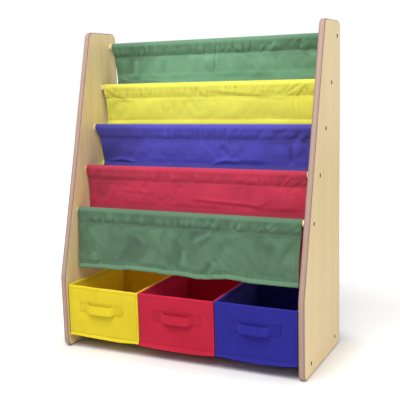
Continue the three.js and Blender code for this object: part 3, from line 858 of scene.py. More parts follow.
# Creases seen on each panel, as lines of (millimetres right of the cloth's middle, millimetres below
# the rod's middle), each with its height and half width in millimetres. A height below 0 is a valley.
CREASES = [
    [
        ([(17, -3), (7, 32), (-3, 90)], -0.9, 2.6),
        ([(21, -3), (12, 32), (3, 90)], 0.8, 3.5),
        ([(-226, 30), (-231, 90)], 1.5, 7),
        ([(-240, 20), (-246, 92)], -1.2, 9),
        ([(-148, 31), (-151, 92)], -0.9, 10),
        ([(120, 40), (126, 92)], 1.2, 16),
        ([(169, 33), (171, 92)], -0.9, 7),
        ([(-284, 82), (-260, 90)], 0.9, 3),
        ([(-217, 88), (-155, 95)], 0.8, 3.5),
        ([(20, 4), (34, 30)], -1.1, 3.2),
        ([(34, 30), (52, 6)], 0.9, 3.2),
        ([(52, 6), (73, 30)], -1.0, 3.2),
        ([(86, 6), (86, 26)], -1.3, 3.2),
        ([(166, 3), (131, 30)], -1.8, 5),
        ([(178, 3), (146, 30)], 1.5, 6),
        ([(240, 3), (222, 29)], -1.8, 5),
        ([(254, 3), (236, 29)], 1.4, 6),
        ([(-139, 8), (-139, 26)], -1.0, 4),
        ([(-98, 4), (-96, 24)], -1.0, 4),
        ([(-17, 4), (-24, 26)], -1.1, 5),
        ([(-195, 6), (-188, 24)], -0.9, 5),
    ],
    [
        ([(-51, 2), (68, 16), (156, 26), (200, 30), (240, 14), (260, 3)], 1.5, 4),
        ([(-40, 8), (68, 22), (156, 32), (202, 36)], -1.1, 5),
        ([(-290, 1), (-261, 26), (-215, 41)], -1.8, 5),
        ([(-288, -4), (-252, 22), (-208, 36)], 1.4, 6),
        ([(-133, 46), (-117, 67), (-98, 48)], -0.8, 5),
        ([(235, 6), (237, 88)], 0.8, 2.6),
        ([(84, -3), (84, 10)], -0.7, 3),
        ([(155, 12), (156, 26)], -0.8, 3.5),
        ([(180, 40), (176, 88)], -1.0, 12),
        ([(268, 8), (262, 26)], -1.2, 4),
        ([(-60, 60), (20, 80)], 0.7, 9),
    ],
    [
        ([(-284, 91), (-240, 83), (-205, 87), (-190, 96)], 1.5, 3.4),
        ([(-284, 97), (-236, 91), (-204, 94)], -1.0, 4),
        ([(-113, 58), (-91, 85), (-81, 66)], -1.0, 5),
        ([(26, 95), (48, 84), (74, 79), (108, 84)], 1.6, 3.8),
        ([(56, 45), (82, 69)], -1.5, 7),
        ([(236, -2), (195, 18)], -1.4, 4.5),
        ([(268, 8), (240, 34)], -1.8, 5),
        ([(280, 8), (252, 36)], 1.3, 5),
        ([(286, 20), (272, 39)], -1.3, 4),
        ([(144, 36), (143, 90)], 1.1, 14),
        ([(184, 40), (182, 88)], -0.9, 9),
        ([(241, 40), (240, 91)], -1.3, 6),
        ([(252, 40), (251, 91)], 1.1, 6),
        ([(-160, 46), (-60, 50)], 0.8, 12),
    ],
    [
        ([(-206, 50), (-158, 53), (-93, 57)], 0.8, 3.2),
        ([(-206, 56), (-158, 59), (-93, 62)], -0.6, 4),
        ([(-95, 67), (-81, 79), (-55, 62)], -1.0, 4.5),
        ([(-17, 66), (57, 69), (139, 73), (172, 76), (208, 59)], 1.2, 3.4),
        ([(-17, 72), (57, 76), (139, 80), (176, 83)], -1.0, 5),
        ([(252, 33), (248, 52)], -0.9, 4),
        ([(-278, 60), (-240, 70)], -0.9, 6),
        ([(100, 4), (104, 26)], -0.7, 5),
        ([(182, 8), (176, 27)], -0.9, 4),
        ([(231, 14), (225, 36)], -0.9, 4),
    ],
    [
        ([(-12, -1), (-5, 26)], -1.1, 3.5),
        ([(56, 4), (58, 18)], -1.0, 4),
        ([(84, -3), (65, 29)], -1.6, 4.5),
        ([(96, -3), (80, 29)], 1.1, 5),
        ([(117, 8), (117, 26)], -1.0, 4),
        ([(141, 6), (131, 26)], -1.5, 4.5),
        ([(150, 8), (142, 26)], 1.1, 4),
        ([(215, 0), (205, 19)], -1.1, 4.5),
        ([(82, 35), (51, 48), (22, 63)], 1.9, 5),
        ([(70, 32), (40, 44), (12, 58)], -1.6, 7),
        ([(10, 62), (-26, 100), (-38, 124)], -1.4, 12),
        ([(-116, 58), (-152, 128)], -2.4, 18),
        ([(-4, 80), (-12, 131)], -2.2, 6),
        ([(7, 76), (4, 126)], 1.8, 7),
        ([(92, 98), (68, 138)], 2.0, 7),
        ([(78, 100), (58, 138)], -1.7, 8),
        ([(174, 34), (243, 77)], -1.6, 11),
        ([(196, 34), (262, 70)], 1.3, 11),
        ([(-250, 100), (-238, 128)], 1.4, 10),
    ],
]

# How far each panel's left and right ends hang back at its foot, and how soon they do so
END_TILTS = [(5, 2), (1, 2), (9, 0), (3, 1), (4, -2)]
TILT_EASE = 0.8

# Wave of the lowest panel's foot: millimetres across and millimetres lower
FOOT_WAVE = [
    (-293, 4.4), (-253, 3.3), (-227, 0.6), (-173, 0.8), (-146, -2.6), (-120, -2.6),
    (-66, -1.5), (-40, 1.2), (-13, -0.2), (14, 0.6), (41, 3.8), (67, 2.8),
    (94, -0.7), (121, -3.3), (148, -1.8), (175, 1.2), (228, 1.3), (293, 0.5),
]


def rod_line(index):
    """Depth and height of a sling rod's middle, in millimetres."""
    low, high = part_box(f"sling_rod_{index + 1}")
    middle = (low + high) / 2 / MM
    return Vector((middle.y, middle.z))


ROD_RADIUS = (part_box("sling_rod_1")[1].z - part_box("sling_rod_1")[0].z) / 2 / MM

# Room left between cloth and what it lies on
FIT_GAP = 0.3


def below_rod(index, drop, lean):
    return rod_line(index) + Vector((lean, -drop))


def hem_foot():
    return below_rod(LOWEST, HEM_DROP, PANEL_LEANS[LOWEST])


def sleeve_seam(index):
    return below_rod(index, SLEEVE_DROP, PANEL_LEANS[index] * SLEEVE_LEAN_SHARE)


def pocket_line(index):
    """Where a panel's pocket has its foot, or where the lowest panel's hem is sewn."""
    if index == LOWEST:
        return hem_foot().lerp(sleeve_seam(LOWEST), HEM_HEIGHT / (HEM_DROP - SLEEVE_DROP))
    return below_rod(index, BEND_DROP, PANEL_LEANS[index])


def pocket_run(index):
    """From a pocket's foot down behind the next pocket, to the flap that is sewn on at its foot."""
    next_foot = pocket_line(index + 1)
    beyond = hem_foot() if index + 1 == LOWEST else pocket_line(index + 2)
    along = (beyond - next_foot).normalized()
    behind = Vector((-along.y, along.x)) * (SLING_CLOTH + 2.2 * FIT_GAP)
    return [pocket_line(index), next_foot + behind, next_foot + behind + along * SEAM_FLAP]


def hem_fold():
    """Down the front of the lowest panel's hem, round its foot and up behind it."""
    sewn, foot = pocket_line(LOWEST), hem_foot()
    along = (foot - sewn).normalized()
    forward = Vector((along.y, -along.x))
    rise = along * -1.1
    return [
        sewn + forward * 0.3,
        foot + forward * 2.6 + rise,
        foot + forward * 0.8,
        foot - forward * 0.1 + rise,
        sewn - forward * 0.95,
    ]


def sling_path(index):
    """One panel's cloth from its tucked end, up behind the rod, over it and down to its last seam."""
    middle, radius = rod_line(index), ROD_RADIUS + FIT_GAP + SLING_CLOTH / 2
    seam = sleeve_seam(index)
    offset = seam - middle
    towards = math.atan2(offset.y, offset.x)
    opening = math.acos(radius / offset.length)
    layer = Vector((SLING_CLOTH / 2 + 0.1, 0))
    points = [seam + layer * 1.6 - Vector((0, SLEEVE_TUCK)), seam + layer * 1.2]
    for step in range(ROD_STEPS + 1):
        angle = lerp(towards + opening, towards - opening + 2 * math.pi, step / ROD_STEPS)
        points.append(middle + Vector((math.cos(angle), math.sin(angle))) * radius)
    points.append(seam - layer)
    points += hem_fold() if index == LOWEST else pocket_run(index)
    return Path(even_steps(points, 1.0, 5))


class SlingPanel:
    """The hanging shape of one panel. Marks are millimetres along its path, across is millimetres
    right of its middle and drop is millimetres below its rod's middle."""

    def __init__(self, index, next_panel):
        self.index = index
        self.lowest = index == LOWEST
        self.next_panel = next_panel
        self.node = f"sling_panel_{index + 1}_{SLING_COLOURS[index]}"
        self.path = sling_path(index)
        self.rod = rod_line(index)
        low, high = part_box(self.node)
        self.left, self.right = low.x / MM, high.x / MM
        self.width = self.right - self.left
        self.top_mark = self.path.nearest(self.rod + Vector((0, ROD_RADIUS)))
        self.seam_mark = self.path.nearest(sleeve_seam(index), self.top_mark)
        self.pocket_mark = self.path.nearest(pocket_line(index), self.seam_mark)
        self.foot_mark = self.pocket_mark
        if self.lowest:
            self.foot_mark = self.path.nearest(hem_foot(), self.seam_mark)
        self.stands = []

    def noise(self, layer, across, down):
        wide, deep, seed, seed_step = layer
        return soft_noise(across / wide, down / deep, seed + seed_step * self.index)

    def hanging(self, mark):
        """0 over the rod, rising to 1 at the panel's foot, on the sleeve's back as on its front."""
        return smoothstep(self.top_mark, self.foot_mark, self.top_mark + abs(mark - self.top_mark))

    def tilt(self, across):
        """How far the cloth's ends hang back."""
        left, right = END_TILTS[self.index]
        to_left = smoothstep(-0.22 * self.width, -0.5 * self.width, across)
        to_right = smoothstep(0.25 * self.width, 0.5 * self.width, across)
        return left * to_left + right * to_right

    def flap_shift(self, across):
        """How far the cloth sewn on behind this pocket's foot is moved back with it."""
        behind = self.path.at(self.pocket_mark)[0]
        pressed = max(0.0, -self.relief(across, self.pocket_mark, self.rod.y - behind.y))
        return self.tilt(across) * self.hanging(self.pocket_mark) ** TILT_EASE + pressed

    def hung_back(self, across, mark):
        """How far back a place hangs, at the panel's ends and where it is sewn to the next panel."""
        back = self.tilt(across) * self.hanging(mark) ** TILT_EASE
        if self.next_panel:
            sewn_from = self.path.length - SEWN_LENGTH
            sewn = smoothstep(self.pocket_mark, sewn_from, mark)
            back = lerp(back, self.next_panel.flap_shift(across), sewn)
            down_run = limit((mark - self.pocket_mark) / (sewn_from - self.pocket_mark), 0.0, 1.0)
            bow = RUN_BOWS[self.index] * math.sin(math.pi * down_run ** 0.75)
            back -= bow * smoothstep(-0.33 * self.width, -0.48 * self.width, across)
        return back

    def sleeve_gathers(self, slanted, mark, drop, gathered, pucker):
        """Ribs down the sleeve, and short crests just above its seam."""
        before_seam = 1 - smoothstep(self.seam_mark - 6, self.seam_mark + 1, mark)
        rib = math.hypot(self.noise(RIBS, slanted, drop), 0.08)
        crest = max(self.noise(CRESTS, slanted, 0.1) - 0.02, 0.0) * min(gathered, 0.9)
        crest *= SLEEVE_GATHERS[self.index] * bell(mark - self.seam_mark + 7, 9)
        return (1.5 * pucker + 0.8 * gathered * rib) * before_seam + crest

    def sleeve_bulge(self, across, mark):
        start = self.top_mark + 11
        down_sleeve = limit((mark - start) / (self.seam_mark - start), 0.0, 1.0)
        bulge = 0.5 - 0.5 * math.cos(2 * math.pi * down_sleeve ** 1.35)
        bunched = limit(0.85 + 1.3 * self.noise(BUNCHING, across, 0.3), 0.35, 1.35)
        return 1.3 * SLEEVE_BULGES[self.index] * bulge * bunched

    def wrinkles(self, across, mark, drop):
        """Broad waves and crumpled ridges on the hanging front, and waves on the pocket's back."""
        broad = self.noise(BROAD_WAVES, across, drop)
        fine = self.noise(FINE_WAVES, across + 0.3 * drop, drop)
        crumple = math.hypot(self.noise(CRUMPLING, across + 0.7 * drop, drop - 0.5 * across), 0.06)
        crossing = self.noise(CROSS_CRUMPLING, across - 0.6 * drop, drop + 0.4 * across)
        crumple += 0.5 * math.hypot(crossing, 0.08)
        hung = smoothstep(self.seam_mark - 2, self.seam_mark + 14, mark)
        if self.lowest:
            free = 1 - 0.8 * smoothstep(self.pocket_mark - 14, self.pocket_mark - 1, mark)
            run = 0.0
        else:
            free = 1 - smoothstep(self.foot_mark - 16, self.foot_mark - 1, mark)
            end = self.path.length
            run = plateau(mark, (self.foot_mark + 3, self.foot_mark + 22), (end - 34, end - 12))
        front = CRUMPLES[self.index] * crumple + 2.6 * broad + 0.8 * fine
        return front * hung * free + (1.6 * broad + 0.5 * fine) * run

    def creases(self, across, mark, drop):
        """The creases picked for this panel, down to its foot."""
        if drop >= BEND_DROP + 6 and not self.lowest:
            return 0.0
        let_go = (-3, 0) if self.lowest else (-4, 3)
        held = 1 - smoothstep(*let_go, mark - self.foot_mark)
        return held * CREASE_GAINS[self.index] * creases_at(CREASES[self.index], across, drop)

    def seams(self, across, mark, pucker):
        """Grooves and ridges along the seams and puckers beside them."""
        past_seam, past_pocket = mark - self.seam_mark, mark - self.pocket_mark
        height = 0.25 * bell(past_seam + 5, 3) - 0.15 * bell(past_seam, 2.2)
        height += (0.3 + 0.5 * pucker) * bell(past_seam - 5.5, 5.5)
        if not self.lowest:
            return height + 0.35 * bell(past_pocket, 1.6)
        hem_pucker = soft_noise(across / 8, 0.4, 9.7) + 0.5 * soft_noise(across / 3.7, 0.9, 2.2)
        hem = smoothstep(-12, -2, past_pocket) * (1 - smoothstep(-2, 0, mark - self.foot_mark))
        return height + 0.8 * hem_pucker * hem - 0.5 * bell(past_pocket, 1.2)

    def relief(self, across, mark, drop):
        """How far the cloth stands out from its plain hanging shape, in millimetres."""
        past_top = smoothstep(self.top_mark + 8, self.top_mark + 20, mark)
        slanted = across + (0.15 + smoothstep(30, 230, across)) * drop
        gathered = 0.35 + 1.6 * abs(self.noise(GATHERING, across, 0.5))
        pucker = self.noise(PUCKERS, slanted, drop) + 0.3 * self.noise(FINE_PUCKERS, slanted, drop)
        pucker *= gathered
        from_end = self.width / 2 - abs(across)
        height = self.sleeve_gathers(slanted, mark, drop, gathered, pucker)
        height += self.creases(across, mark, drop) - 0.3 * bell(from_end - END_HEM, 0.9)
        height *= past_top
        height += self.sleeve_bulge(across, mark) * (1 + 0.5 * pucker)
        height += self.wrinkles(across, mark, drop) + self.seams(across, mark, pucker)
        past_foot = mark - self.foot_mark
        height += FOOT_FLARES[self.index] * plateau(past_foot, (-9, -1), (14, 50))
        return self.clear_of_layers(height, mark)

    def clear_of_layers(self, height, mark):
        """Rounds off what would sink into the sleeve's back or its tucked end."""
        past_seam = mark - self.seam_mark
        least = -0.35 - (5 * smoothstep(5, 15, past_seam) if past_seam >= 0 else -0.5 * past_seam)
        return (height + least + math.hypot(height - least, 0.6)) / 2

    def shade(self, across, mark, stand):
        """How shaded the cloth is at its ends, down its sleeve, at its seams and at its foot."""
        left, right = END_SHADES[self.index]
        shaded = left * smoothstep(-0.2 * self.width, -0.52 * self.width, across)
        shaded += right * smoothstep(0.25 * self.width, 0.52 * self.width, across)
        past_seam, past_pocket = mark - self.seam_mark, mark - self.pocket_mark
        down_sleeve, above_seam, under_seam = SLEEVE_SHADES[self.index]
        in_sleeve = smoothstep(9, 19, mark - self.top_mark) * (1 - smoothstep(-4, 1, past_seam))
        shaded += down_sleeve * in_sleeve * (1 + 0.8 * self.noise(SCALLOPS, across, mark))
        shaded += above_seam * bell(past_seam + 4.5, 4.5) + under_seam * bell(past_seam - 5, 5)
        # painted light where the cloth stands out and painted shade where it sinks back, on its front
        on_front = smoothstep(0, 8, past_seam) * (1 - smoothstep(-12, -2, past_pocket))
        shaded -= 0.02 * (stand - 1.0) * on_front
        if self.lowest:
            shaded += LOWEST_SHADE * smoothstep(-4, 3, past_seam)
            return shaded - HEM_LIGHT * smoothstep(-1, 3, past_pocket)
        below, above = FOOT_SHADES[self.index]
        shaded += below * plateau(past_pocket, (-3, 2), (10, 22))
        return shaded - above * plateau(past_pocket, (-24, -14), (-5, 0))

    def drawn_in(self, share, mark):
        """How far right a place lies, from the share of the width that it is at."""
        fallen = self.top_mark + abs(mark - self.top_mark)
        drawn_by = lerp(self.top_mark, self.pocket_mark, 0.6)
        drawn = EDGE_DRAWS[self.index] * smoothstep(self.top_mark, drawn_by, fallen)
        in_run = smoothstep(0, 18, mark - self.pocket_mark)
        shifts = zip(END_SHIFTS[self.index], RUN_SHIFTS[self.index])
        left, right = (shift + more * in_run for shift, more in shifts)
        return lerp(self.left + left + drawn, self.right + right - drawn, share)

    def surface(self, across, along):
        """A place on the cloth, from metres right of its left end and metres along its path."""
        from_middle, mark = across / MM - self.width / 2, along / MM
        point, normal = self.path.at(mark)
        stand = self.relief(from_middle, mark, self.rod.y - point.y)
        self.stands.append((stand, self.shade(from_middle, mark, stand)))
        out = point + normal * stand
        out.x += self.hung_back(from_middle, mark)
        from_rod = out - self.rod
        least = ROD_RADIUS + FIT_GAP / 2 + SLING_CLOTH / 2
        if from_rod.length < least:
            out = self.rod + from_rod.normalized() * least
        if self.lowest:
            wave = value_at(FOOT_WAVE, from_middle)
            out.y -= wave * smoothstep(self.seam_mark, self.foot_mark, mark)
        return Vector((self.drawn_in(across / MM / self.width, mark), out.x, out.y)) * MM

    def outward(self, centre):
        return Vector((0, centre.y - self.rod.x * MM, centre.z - self.rod.y * MM))


def hang_sling():
    next_panel = None
    for index in reversed(range(len(SLING_COLOURS))):
        panel = next_panel = SlingPanel(index, next_panel)
        colour = SLING_COLOURS[index]
        width, length = panel.width * MM, panel.path.length * MM
        columns, rows = even(0, width, SLING_COLUMN * MM), even(0, length, SLING_ROW * MM)
        bm = bmesh.new()
        spread_cloth(bm, columns, rows, panel.surface, panel.outward, stands=panel.stands)
        finish = TOP_CLOTH if index == 0 else CLOTHS[colour]
        piece = finished_piece(
            f"{panel.node}_cloth", bm, finish, "frame", [panel.node], SLING_CLOTH * MM,
        )
        stitching = sew_sling_panel(panel, colour)


def sew_sling_panel(panel, colour):
    bm = bmesh.new()
    lift = SLING_CLOTH / 2 + 0.05
    for mark in [panel.seam_mark, panel.pocket_mark] if panel.lowest else [panel.seam_mark]:
        sew(bm, panel.surface, (2, mark), (panel.width - 2, mark), SEAM_STITCH, lift)
    start, end = panel.top_mark - 6, panel.pocket_mark - 2
    for across in (END_HEM, panel.width - END_HEM):
        sew(bm, panel.surface, (across, start), (across, end), END_STITCH, lift)
    return finished_piece(
        f"{panel.node}_stitching", bm, THREADS[colour], "frame",
    )


# Bins

BIN_COLOURS = ["yellow", "red", "blue"]
BIN_CLOTH = 0.7
BIN_CORNER = 2.0

# The cover's rim turns in to this inset, over the boards and the lining, and ends so far down. The
# lining lies inside the boards and this far above the bin's underside.
RIM_INSET = 3.35
RIM_RADIUS = RIM_INSET / 2
RIM_TURN = 10
LINING_INSET = 2.4
LINING_FACE = LINING_INSET + BIN_CLOTH / 2
BASE_LINING_GAP = 0.95

# Seams run this far from each corner and below the rim. The mesh has lines so far beside them.
FIN_WIDTH = 4.2
RIM_STITCH_DROP = 8.5
SEAM_SHIFTS = (-1.2, -0.5, 0, 0.5, 1.2)
BIN_COLUMN = 2.8

# Rise of each bin's front rim, and sideways place of its strap, in millimetres
RIM_RISES = {
    "yellow": [(-99, 2.6), (-20, 0.8), (99, 0)],
    "red": [(-99, 0.4), (99, 0)],
    "blue": [(-99, 1.2), (0, 0.2), (99, 0)],
}
STRAP_SHIFTS = {"yellow": -5, "red": 4, "blue": -1}

# The strip along the foot of each front: how far it stands proud of the front, its height, how far
# it hangs below the floor and past each side, half its thickness, and how far down it is sewn
HEM_PROUD = 1.4
HEM_STRIP_HEIGHT = 10
HEM_STRIP_DROP = 7
HEM_STRIP_REACH = 0.5
HEM_EDGE = 0.62
HEM_SEAM = 6.8

# Sag of each hem strip's foot: millimetres right of the middle and millimetres lower
HEM_SAGS = {
    "yellow": [(-95, -4), (-20, -1.6), (40, 0), (95, -2.4)],
    "red": [(-95, 0.6), (-40, 2.8), (40, 3.2), (80, 1), (95, 0)],
    "blue": [(-95, -1.5), (-30, 1.5), (10, 2.5), (60, 0.5), (95, -3)],
}

# Each strap: its width, the length of its sewn ends and the span between them, its thickness, how
# far its loop stands out, how far below the rim it is, and how far in from its edges it is sewn
STRAP_WIDTH = 25
STRAP_PATCH = 22
STRAP_SPAN = 79
STRAP_THICKNESS = 1.6
STRAP_STAND = 9.6
STRAP_MIDDLE_DROP = 51
STRAP_SEAM = 2.6

# Rows of stitches across each sewn end lie between these lengths from it, at these shares
PATCH_NEAR = 3
PATCH_FAR = STRAP_PATCH - 2.5
PATCH_ROWS = [0, 0.33, 0.67, 1]

# Stitches by their pitch, length and thread
BIN_STITCH = (3.3, 2.4, 0.42)
STRIP_STITCH = (3.3, 2.4, 0.45)
STRAP_STITCH = (3.0, 2.3, 0.5)
TACK_STITCH = (3.0, 2.3, 0.8)

# Creases on the front of each bin, as on the sling: millimetres right of the middle and below the rim
FRONT_CREASES = {
    "yellow": [
        ([(-88, 104), (-50, 70)], 1.0, 8),
        ([(-36, 20), (-30, 36)], 0.5, 3.5),
        ([(-16, 16), (-20, 36)], -0.5, 4),
        ([(-34, 74), (-32, 104)], -0.7, 8),
        ([(30, 70), (44, 96)], 0.5, 9),
        ([(66, 30), (88, 14)], 0.5, 6),
    ],
    "red": [
        ([(-30, 16), (-36, 36)], -0.6, 5),
        ([(8, 14), (4, 36)], -0.6, 6),
        ([(-60, 66), (-84, 100)], 0.7, 8),
        ([(20, 72), (24, 108)], -0.6, 9),
        ([(60, 66), (84, 88)], 0.5, 7),
    ],
    "blue": [
        ([(-22, 14), (-34, 34)], -0.7, 5),
        ([(20, 12), (14, 34)], -0.6, 7),
        ([(-16, 70), (2, 94), (18, 72)], -0.8, 6),
        ([(62, 28), (84, 10)], 0.6, 6),
        ([(48, 74), (56, 110)], -0.5, 9),
        ([(-62, 66), (-86, 92)], 0.5, 8),
    ],
}
FRONT_CREASE_GAIN = 1.6


class BinShape:
    """The outline and the walls of one bin, in millimetres. Walls are numbered from the front by way
    of the right. Marks are lengths out from the middle of the floor and up the wall."""

    def __init__(self, colour):
        self.colour = colour
        low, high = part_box(f"{colour}_bin_cover")
        low, high = low / MM, high / MM
        self.front, self.back = low.y + HEM_PROUD, high.y
        self.bottom, self.top = low.z + HEM_STRIP_DROP, high.z
        self.width, self.depth = high.x - low.x, self.back - self.front
        self.height = self.top - self.bottom
        self.middle = Vector(((low.x + high.x) / 2, (self.front + self.back) / 2))
        arc = math.pi / 2 * BIN_CORNER
        side_x, side_y = self.width - 2 * BIN_CORNER, self.depth - 2 * BIN_CORNER
        self.parts = [("side", side_x), ("corner", arc), ("side", side_y), ("corner", arc)] * 2
        self.round_length = sum(length for _, length in self.parts)
        self.cover_floor = self.width / 2 - BIN_CLOTH / 2
        self.wall_top = self.cover_floor + self.height - BIN_CLOTH / 2 - RIM_RADIUS
        self.rim_end = self.wall_top + math.pi * RIM_RADIUS
        self.stitch_mark = self.cover_floor + self.height - BIN_CLOTH / 2 - RIM_STITCH_DROP
        self.lining_floor = self.width / 2 - LINING_FACE
        self.seed = 11.3 * BIN_COLOURS.index(colour)
        self.strap_shift = STRAP_SHIFTS[colour]
        self.stands = []

    def half(self, wall):
        return (self.width if wall % 2 == 0 else self.depth) / 2

    def outline(self, around, inset):
        """A point on the outline at an inset, its outward direction, its wall or None at a corner,
        and how far it is from that wall's middle."""
        around %= self.round_length
        for index, (kind, length) in enumerate(self.parts):
            if around <= length or index == len(self.parts) - 1:
                break
            around -= length
        share = min(around / length, 1.0)
        wall = index // 2
        turn = Matrix.Rotation(wall * math.pi / 2, 2)
        half_along, half_out = self.half(wall) - inset, self.half(wall + 1) - inset
        radius = max(BIN_CORNER - inset, 0.3)
        run = max(half_along - radius, 0.0)
        if kind == "side":
            from_middle = lerp(-run, run, share)
            spot = Vector((from_middle, -half_out))
            return self.middle + turn @ spot, turn @ Vector((0, -1)), wall, from_middle
        angle = (share - 1) * math.pi / 2
        out = Vector((math.cos(angle), math.sin(angle)))
        spot = Vector((run, -max(half_out - radius, 0.0))) + out * radius
        return self.middle + turn @ spot, turn @ out, None, half_along

    def columns(self):
        """Lengths round the outline, closer together at the corners and at the seams beside them."""
        lists, start = [], 0.0
        for kind, length in self.parts:
            end = start + length
            if kind == "corner":
                lists.append(even(start, end, length / 4))
            else:
                near = [start + FIN_WIDTH - BIN_CORNER + shift for shift in SEAM_SHIFTS]
                far = [start + end - mark for mark in near]
                lists += [even(start + 5, end - 5, BIN_COLUMN), near, far, [start, end]]
            start = end
        return joined_lengths(*lists)

    def rim_rise(self, spot, z):
        """How far a place on the walls is drawn up with the front rim."""
        to_front = smoothstep(self.back, self.front, spot.y)
        to_rim = smoothstep(self.top - 70, self.top, z)
        return value_at(RIM_RISES[self.colour], spot.x - self.middle.x) * to_front * to_rim

    def front_relief(self, across, drop, free, waves):
        """Waves and creases on the front, and puckers round the strap's flat sewn ends."""
        from_strap = abs(across - self.strap_shift)
        inner, outer = STRAP_SPAN / 2, STRAP_SPAN / 2 + STRAP_PATCH
        level = abs(drop - STRAP_MIDDLE_DROP)
        beside_patch = min(abs(from_strap - inner), abs(from_strap - outer))
        pucker = soft_noise((across - self.strap_shift) / 5, drop / 9, self.seed + 8)
        pucker *= bell(beside_patch, 12) * bell(level, 34)
        creases = creases_at(FRONT_CREASES[self.colour], across, drop)
        height = free * (waves + 0.6 * pucker + FRONT_CREASE_GAIN * creases)
        flat = smoothstep(outer + 4, outer, from_strap) * smoothstep(inner - 5, inner - 1, from_strap)
        return max(lerp(height, 0.0, flat * smoothstep(15, 11.5, level)), -0.15)

    def wall_relief(self, wall, across, drop):
        """How far the outside of a wall stands out."""
        if wall is None:
            return 0.15
        from_corner = self.half(wall) - abs(across)
        free = smoothstep(0, 14, drop) * smoothstep(0, 16, self.height - drop)
        free *= smoothstep(0, 16, from_corner)
        seed = self.seed + 3.7 * wall
        broad = soft_noise(across / 45, drop / 38, seed)
        fine = soft_noise(across / 14, drop / 16, seed + 5)
        if wall == 0:
            height = self.front_relief(across, drop, free, 0.7 + 0.75 * broad + 0.3 * fine)
        else:
            height = free * (0.05 + 0.12 * broad + 0.06 * fine)
        height -= 0.3 * (bell(from_corner - FIN_WIDTH, 0.8) + bell(drop - RIM_STITCH_DROP, 0.9))
        return height + 0.15 * smoothstep(FIN_WIDTH, FIN_WIDTH - 1, from_corner)

    def cover_profile(self, mark):
        """The cover's inset and height at a mark, and the share of its wall's relief that it has."""
        cloth = BIN_CLOTH / 2
        if mark <= self.cover_floor:
            return self.width / 2 - mark, self.bottom + cloth, 0.0
        if mark <= self.wall_top:
            return cloth, self.bottom + cloth + mark - self.cover_floor, 1.0
        bend_foot = self.top - cloth - RIM_RADIUS
        if mark > self.rim_end:
            return RIM_INSET + cloth, bend_foot - (mark - self.rim_end), 0.0
        angle = (mark - self.wall_top) / RIM_RADIUS
        inset = cloth + RIM_RADIUS * (1 - math.cos(angle))
        return inset, bend_foot + RIM_RADIUS * math.sin(angle), 0.5 + 0.5 * math.cos(angle)

    def cover_shade(self, wall, across, drop, push):
        """Shade above the strap's loop and in the seams, and light on the corners and the rim."""
        shaded = 0.06 * bell(drop - RIM_STITCH_DROP, 1.2) - 0.14 * smoothstep(2.2, 1.2, drop)
        if wall is None:
            return shaded - 0.12
        if wall == 0:
            from_strap = abs(across - self.strap_shift)
            beside = smoothstep(STRAP_SPAN / 2 + 4, STRAP_SPAN / 2 - 8, from_strap)
            shaded += 0.05 * push * beside * bell(drop - STRAP_MIDDLE_DROP + STRAP_WIDTH / 2 - 2, 6)
        from_corner = self.half(wall) - abs(across)
        shaded -= 0.1 * smoothstep(FIN_WIDTH - 0.8, 2.2, from_corner)
        return shaded + 0.08 * bell(from_corner - FIN_WIDTH, 1.1)

    def cover(self, across, along):
        """A place on the cover: out from the middle of its floor, up the wall, over the rim and in."""
        around = across / MM
        inset, z, push = self.cover_profile(along / MM)
        drop = self.top - z
        spot, out, wall, from_middle = self.outline(around, inset)
        stand = self.wall_relief(wall, from_middle, drop) * push if push else 0.0
        self.stands.append((stand, self.cover_shade(wall, from_middle, drop, push)))
        spot = spot + out * stand
        z += self.rim_rise(spot, z)
        uneven = 1 + soft_noise(around / 30, 0.3, self.seed)
        z -= 0.35 * smoothstep(self.top - 12, self.top, z) * uneven
        return Vector((spot.x, spot.y, z)) * MM

    def cover_rows(self):
        rim_end, floor = self.rim_end, self.cover_floor
        return joined_lengths(
            even(0, floor - 1, 12), [floor], even(floor + 1, self.wall_top, 2.4),
            [self.stitch_mark + shift for shift in SEAM_SHIFTS], even(self.wall_top, rim_end, 0.75),
            even(rim_end, rim_end + RIM_TURN - RIM_RADIUS, 1.4),
        )

    def lining_bulge(self, wall, across, z, rise):
        """How far the lining stands in from the boards."""
        free = smoothstep(4, 22, self.half(wall) - abs(across)) * smoothstep(8, 22, rise)
        free *= smoothstep(RIM_TURN - 2, RIM_TURN + 14, self.top - z)
        seed = self.seed + 2.9 * wall
        bulge = 1.2 + 1.5 * soft_noise(across / 30, z / 120, seed + 30)
        bulge += 0.5 * soft_noise(across / 11, z / 40, seed + 40)
        return max(free * bulge, 0.0)

    def lining(self, across, along):
        """A place on the lining: out from the middle of its floor and up inside the wall boards."""
        around, mark = across / MM, along / MM
        floor = self.bottom + BASE_LINING_GAP + BIN_CLOTH / 2
        if mark <= self.lining_floor:
            spot = self.outline(around, self.width / 2 - mark)[0]
            return Vector((spot.x, spot.y, floor)) * MM
        rise = mark - self.lining_floor
        z = floor + rise
        spot, out, wall, from_middle = self.outline(around, LINING_FACE)
        if wall is not None:
            spot = spot - out * self.lining_bulge(wall, from_middle, z, rise)
        return Vector((spot.x, spot.y, z + self.rim_rise(spot, z))) * MM

    def lining_rows(self):
        floor = self.lining_floor
        end = floor + self.height - BASE_LINING_GAP - BIN_CLOTH / 2 - 1.3
        return joined_lengths(even(0, floor - 1, 12), [floor], even(floor + 1, end, 3.5))

    def flat_place(self, across, along, inset):
        """Where a place lies on the flat cloth, for its weave, if its floor reaches to an inset."""
        from_outline = self.width / 2 - along / MM
        if from_outline <= inset:
            return across, along
        spot = self.outline(across / MM, from_outline)[0] * MM
        return spot.x, spot.y

    def flat_cover(self, across, along):
        return self.flat_place(across, along, BIN_CLOTH / 2)

    def flat_lining(self, across, along):
        return self.flat_place(across, along, LINING_FACE)

    def outward(self, centre):
        return centre / MM - Vector((self.middle.x, self.middle.y, lerp(self.bottom, self.top, 0.5)))


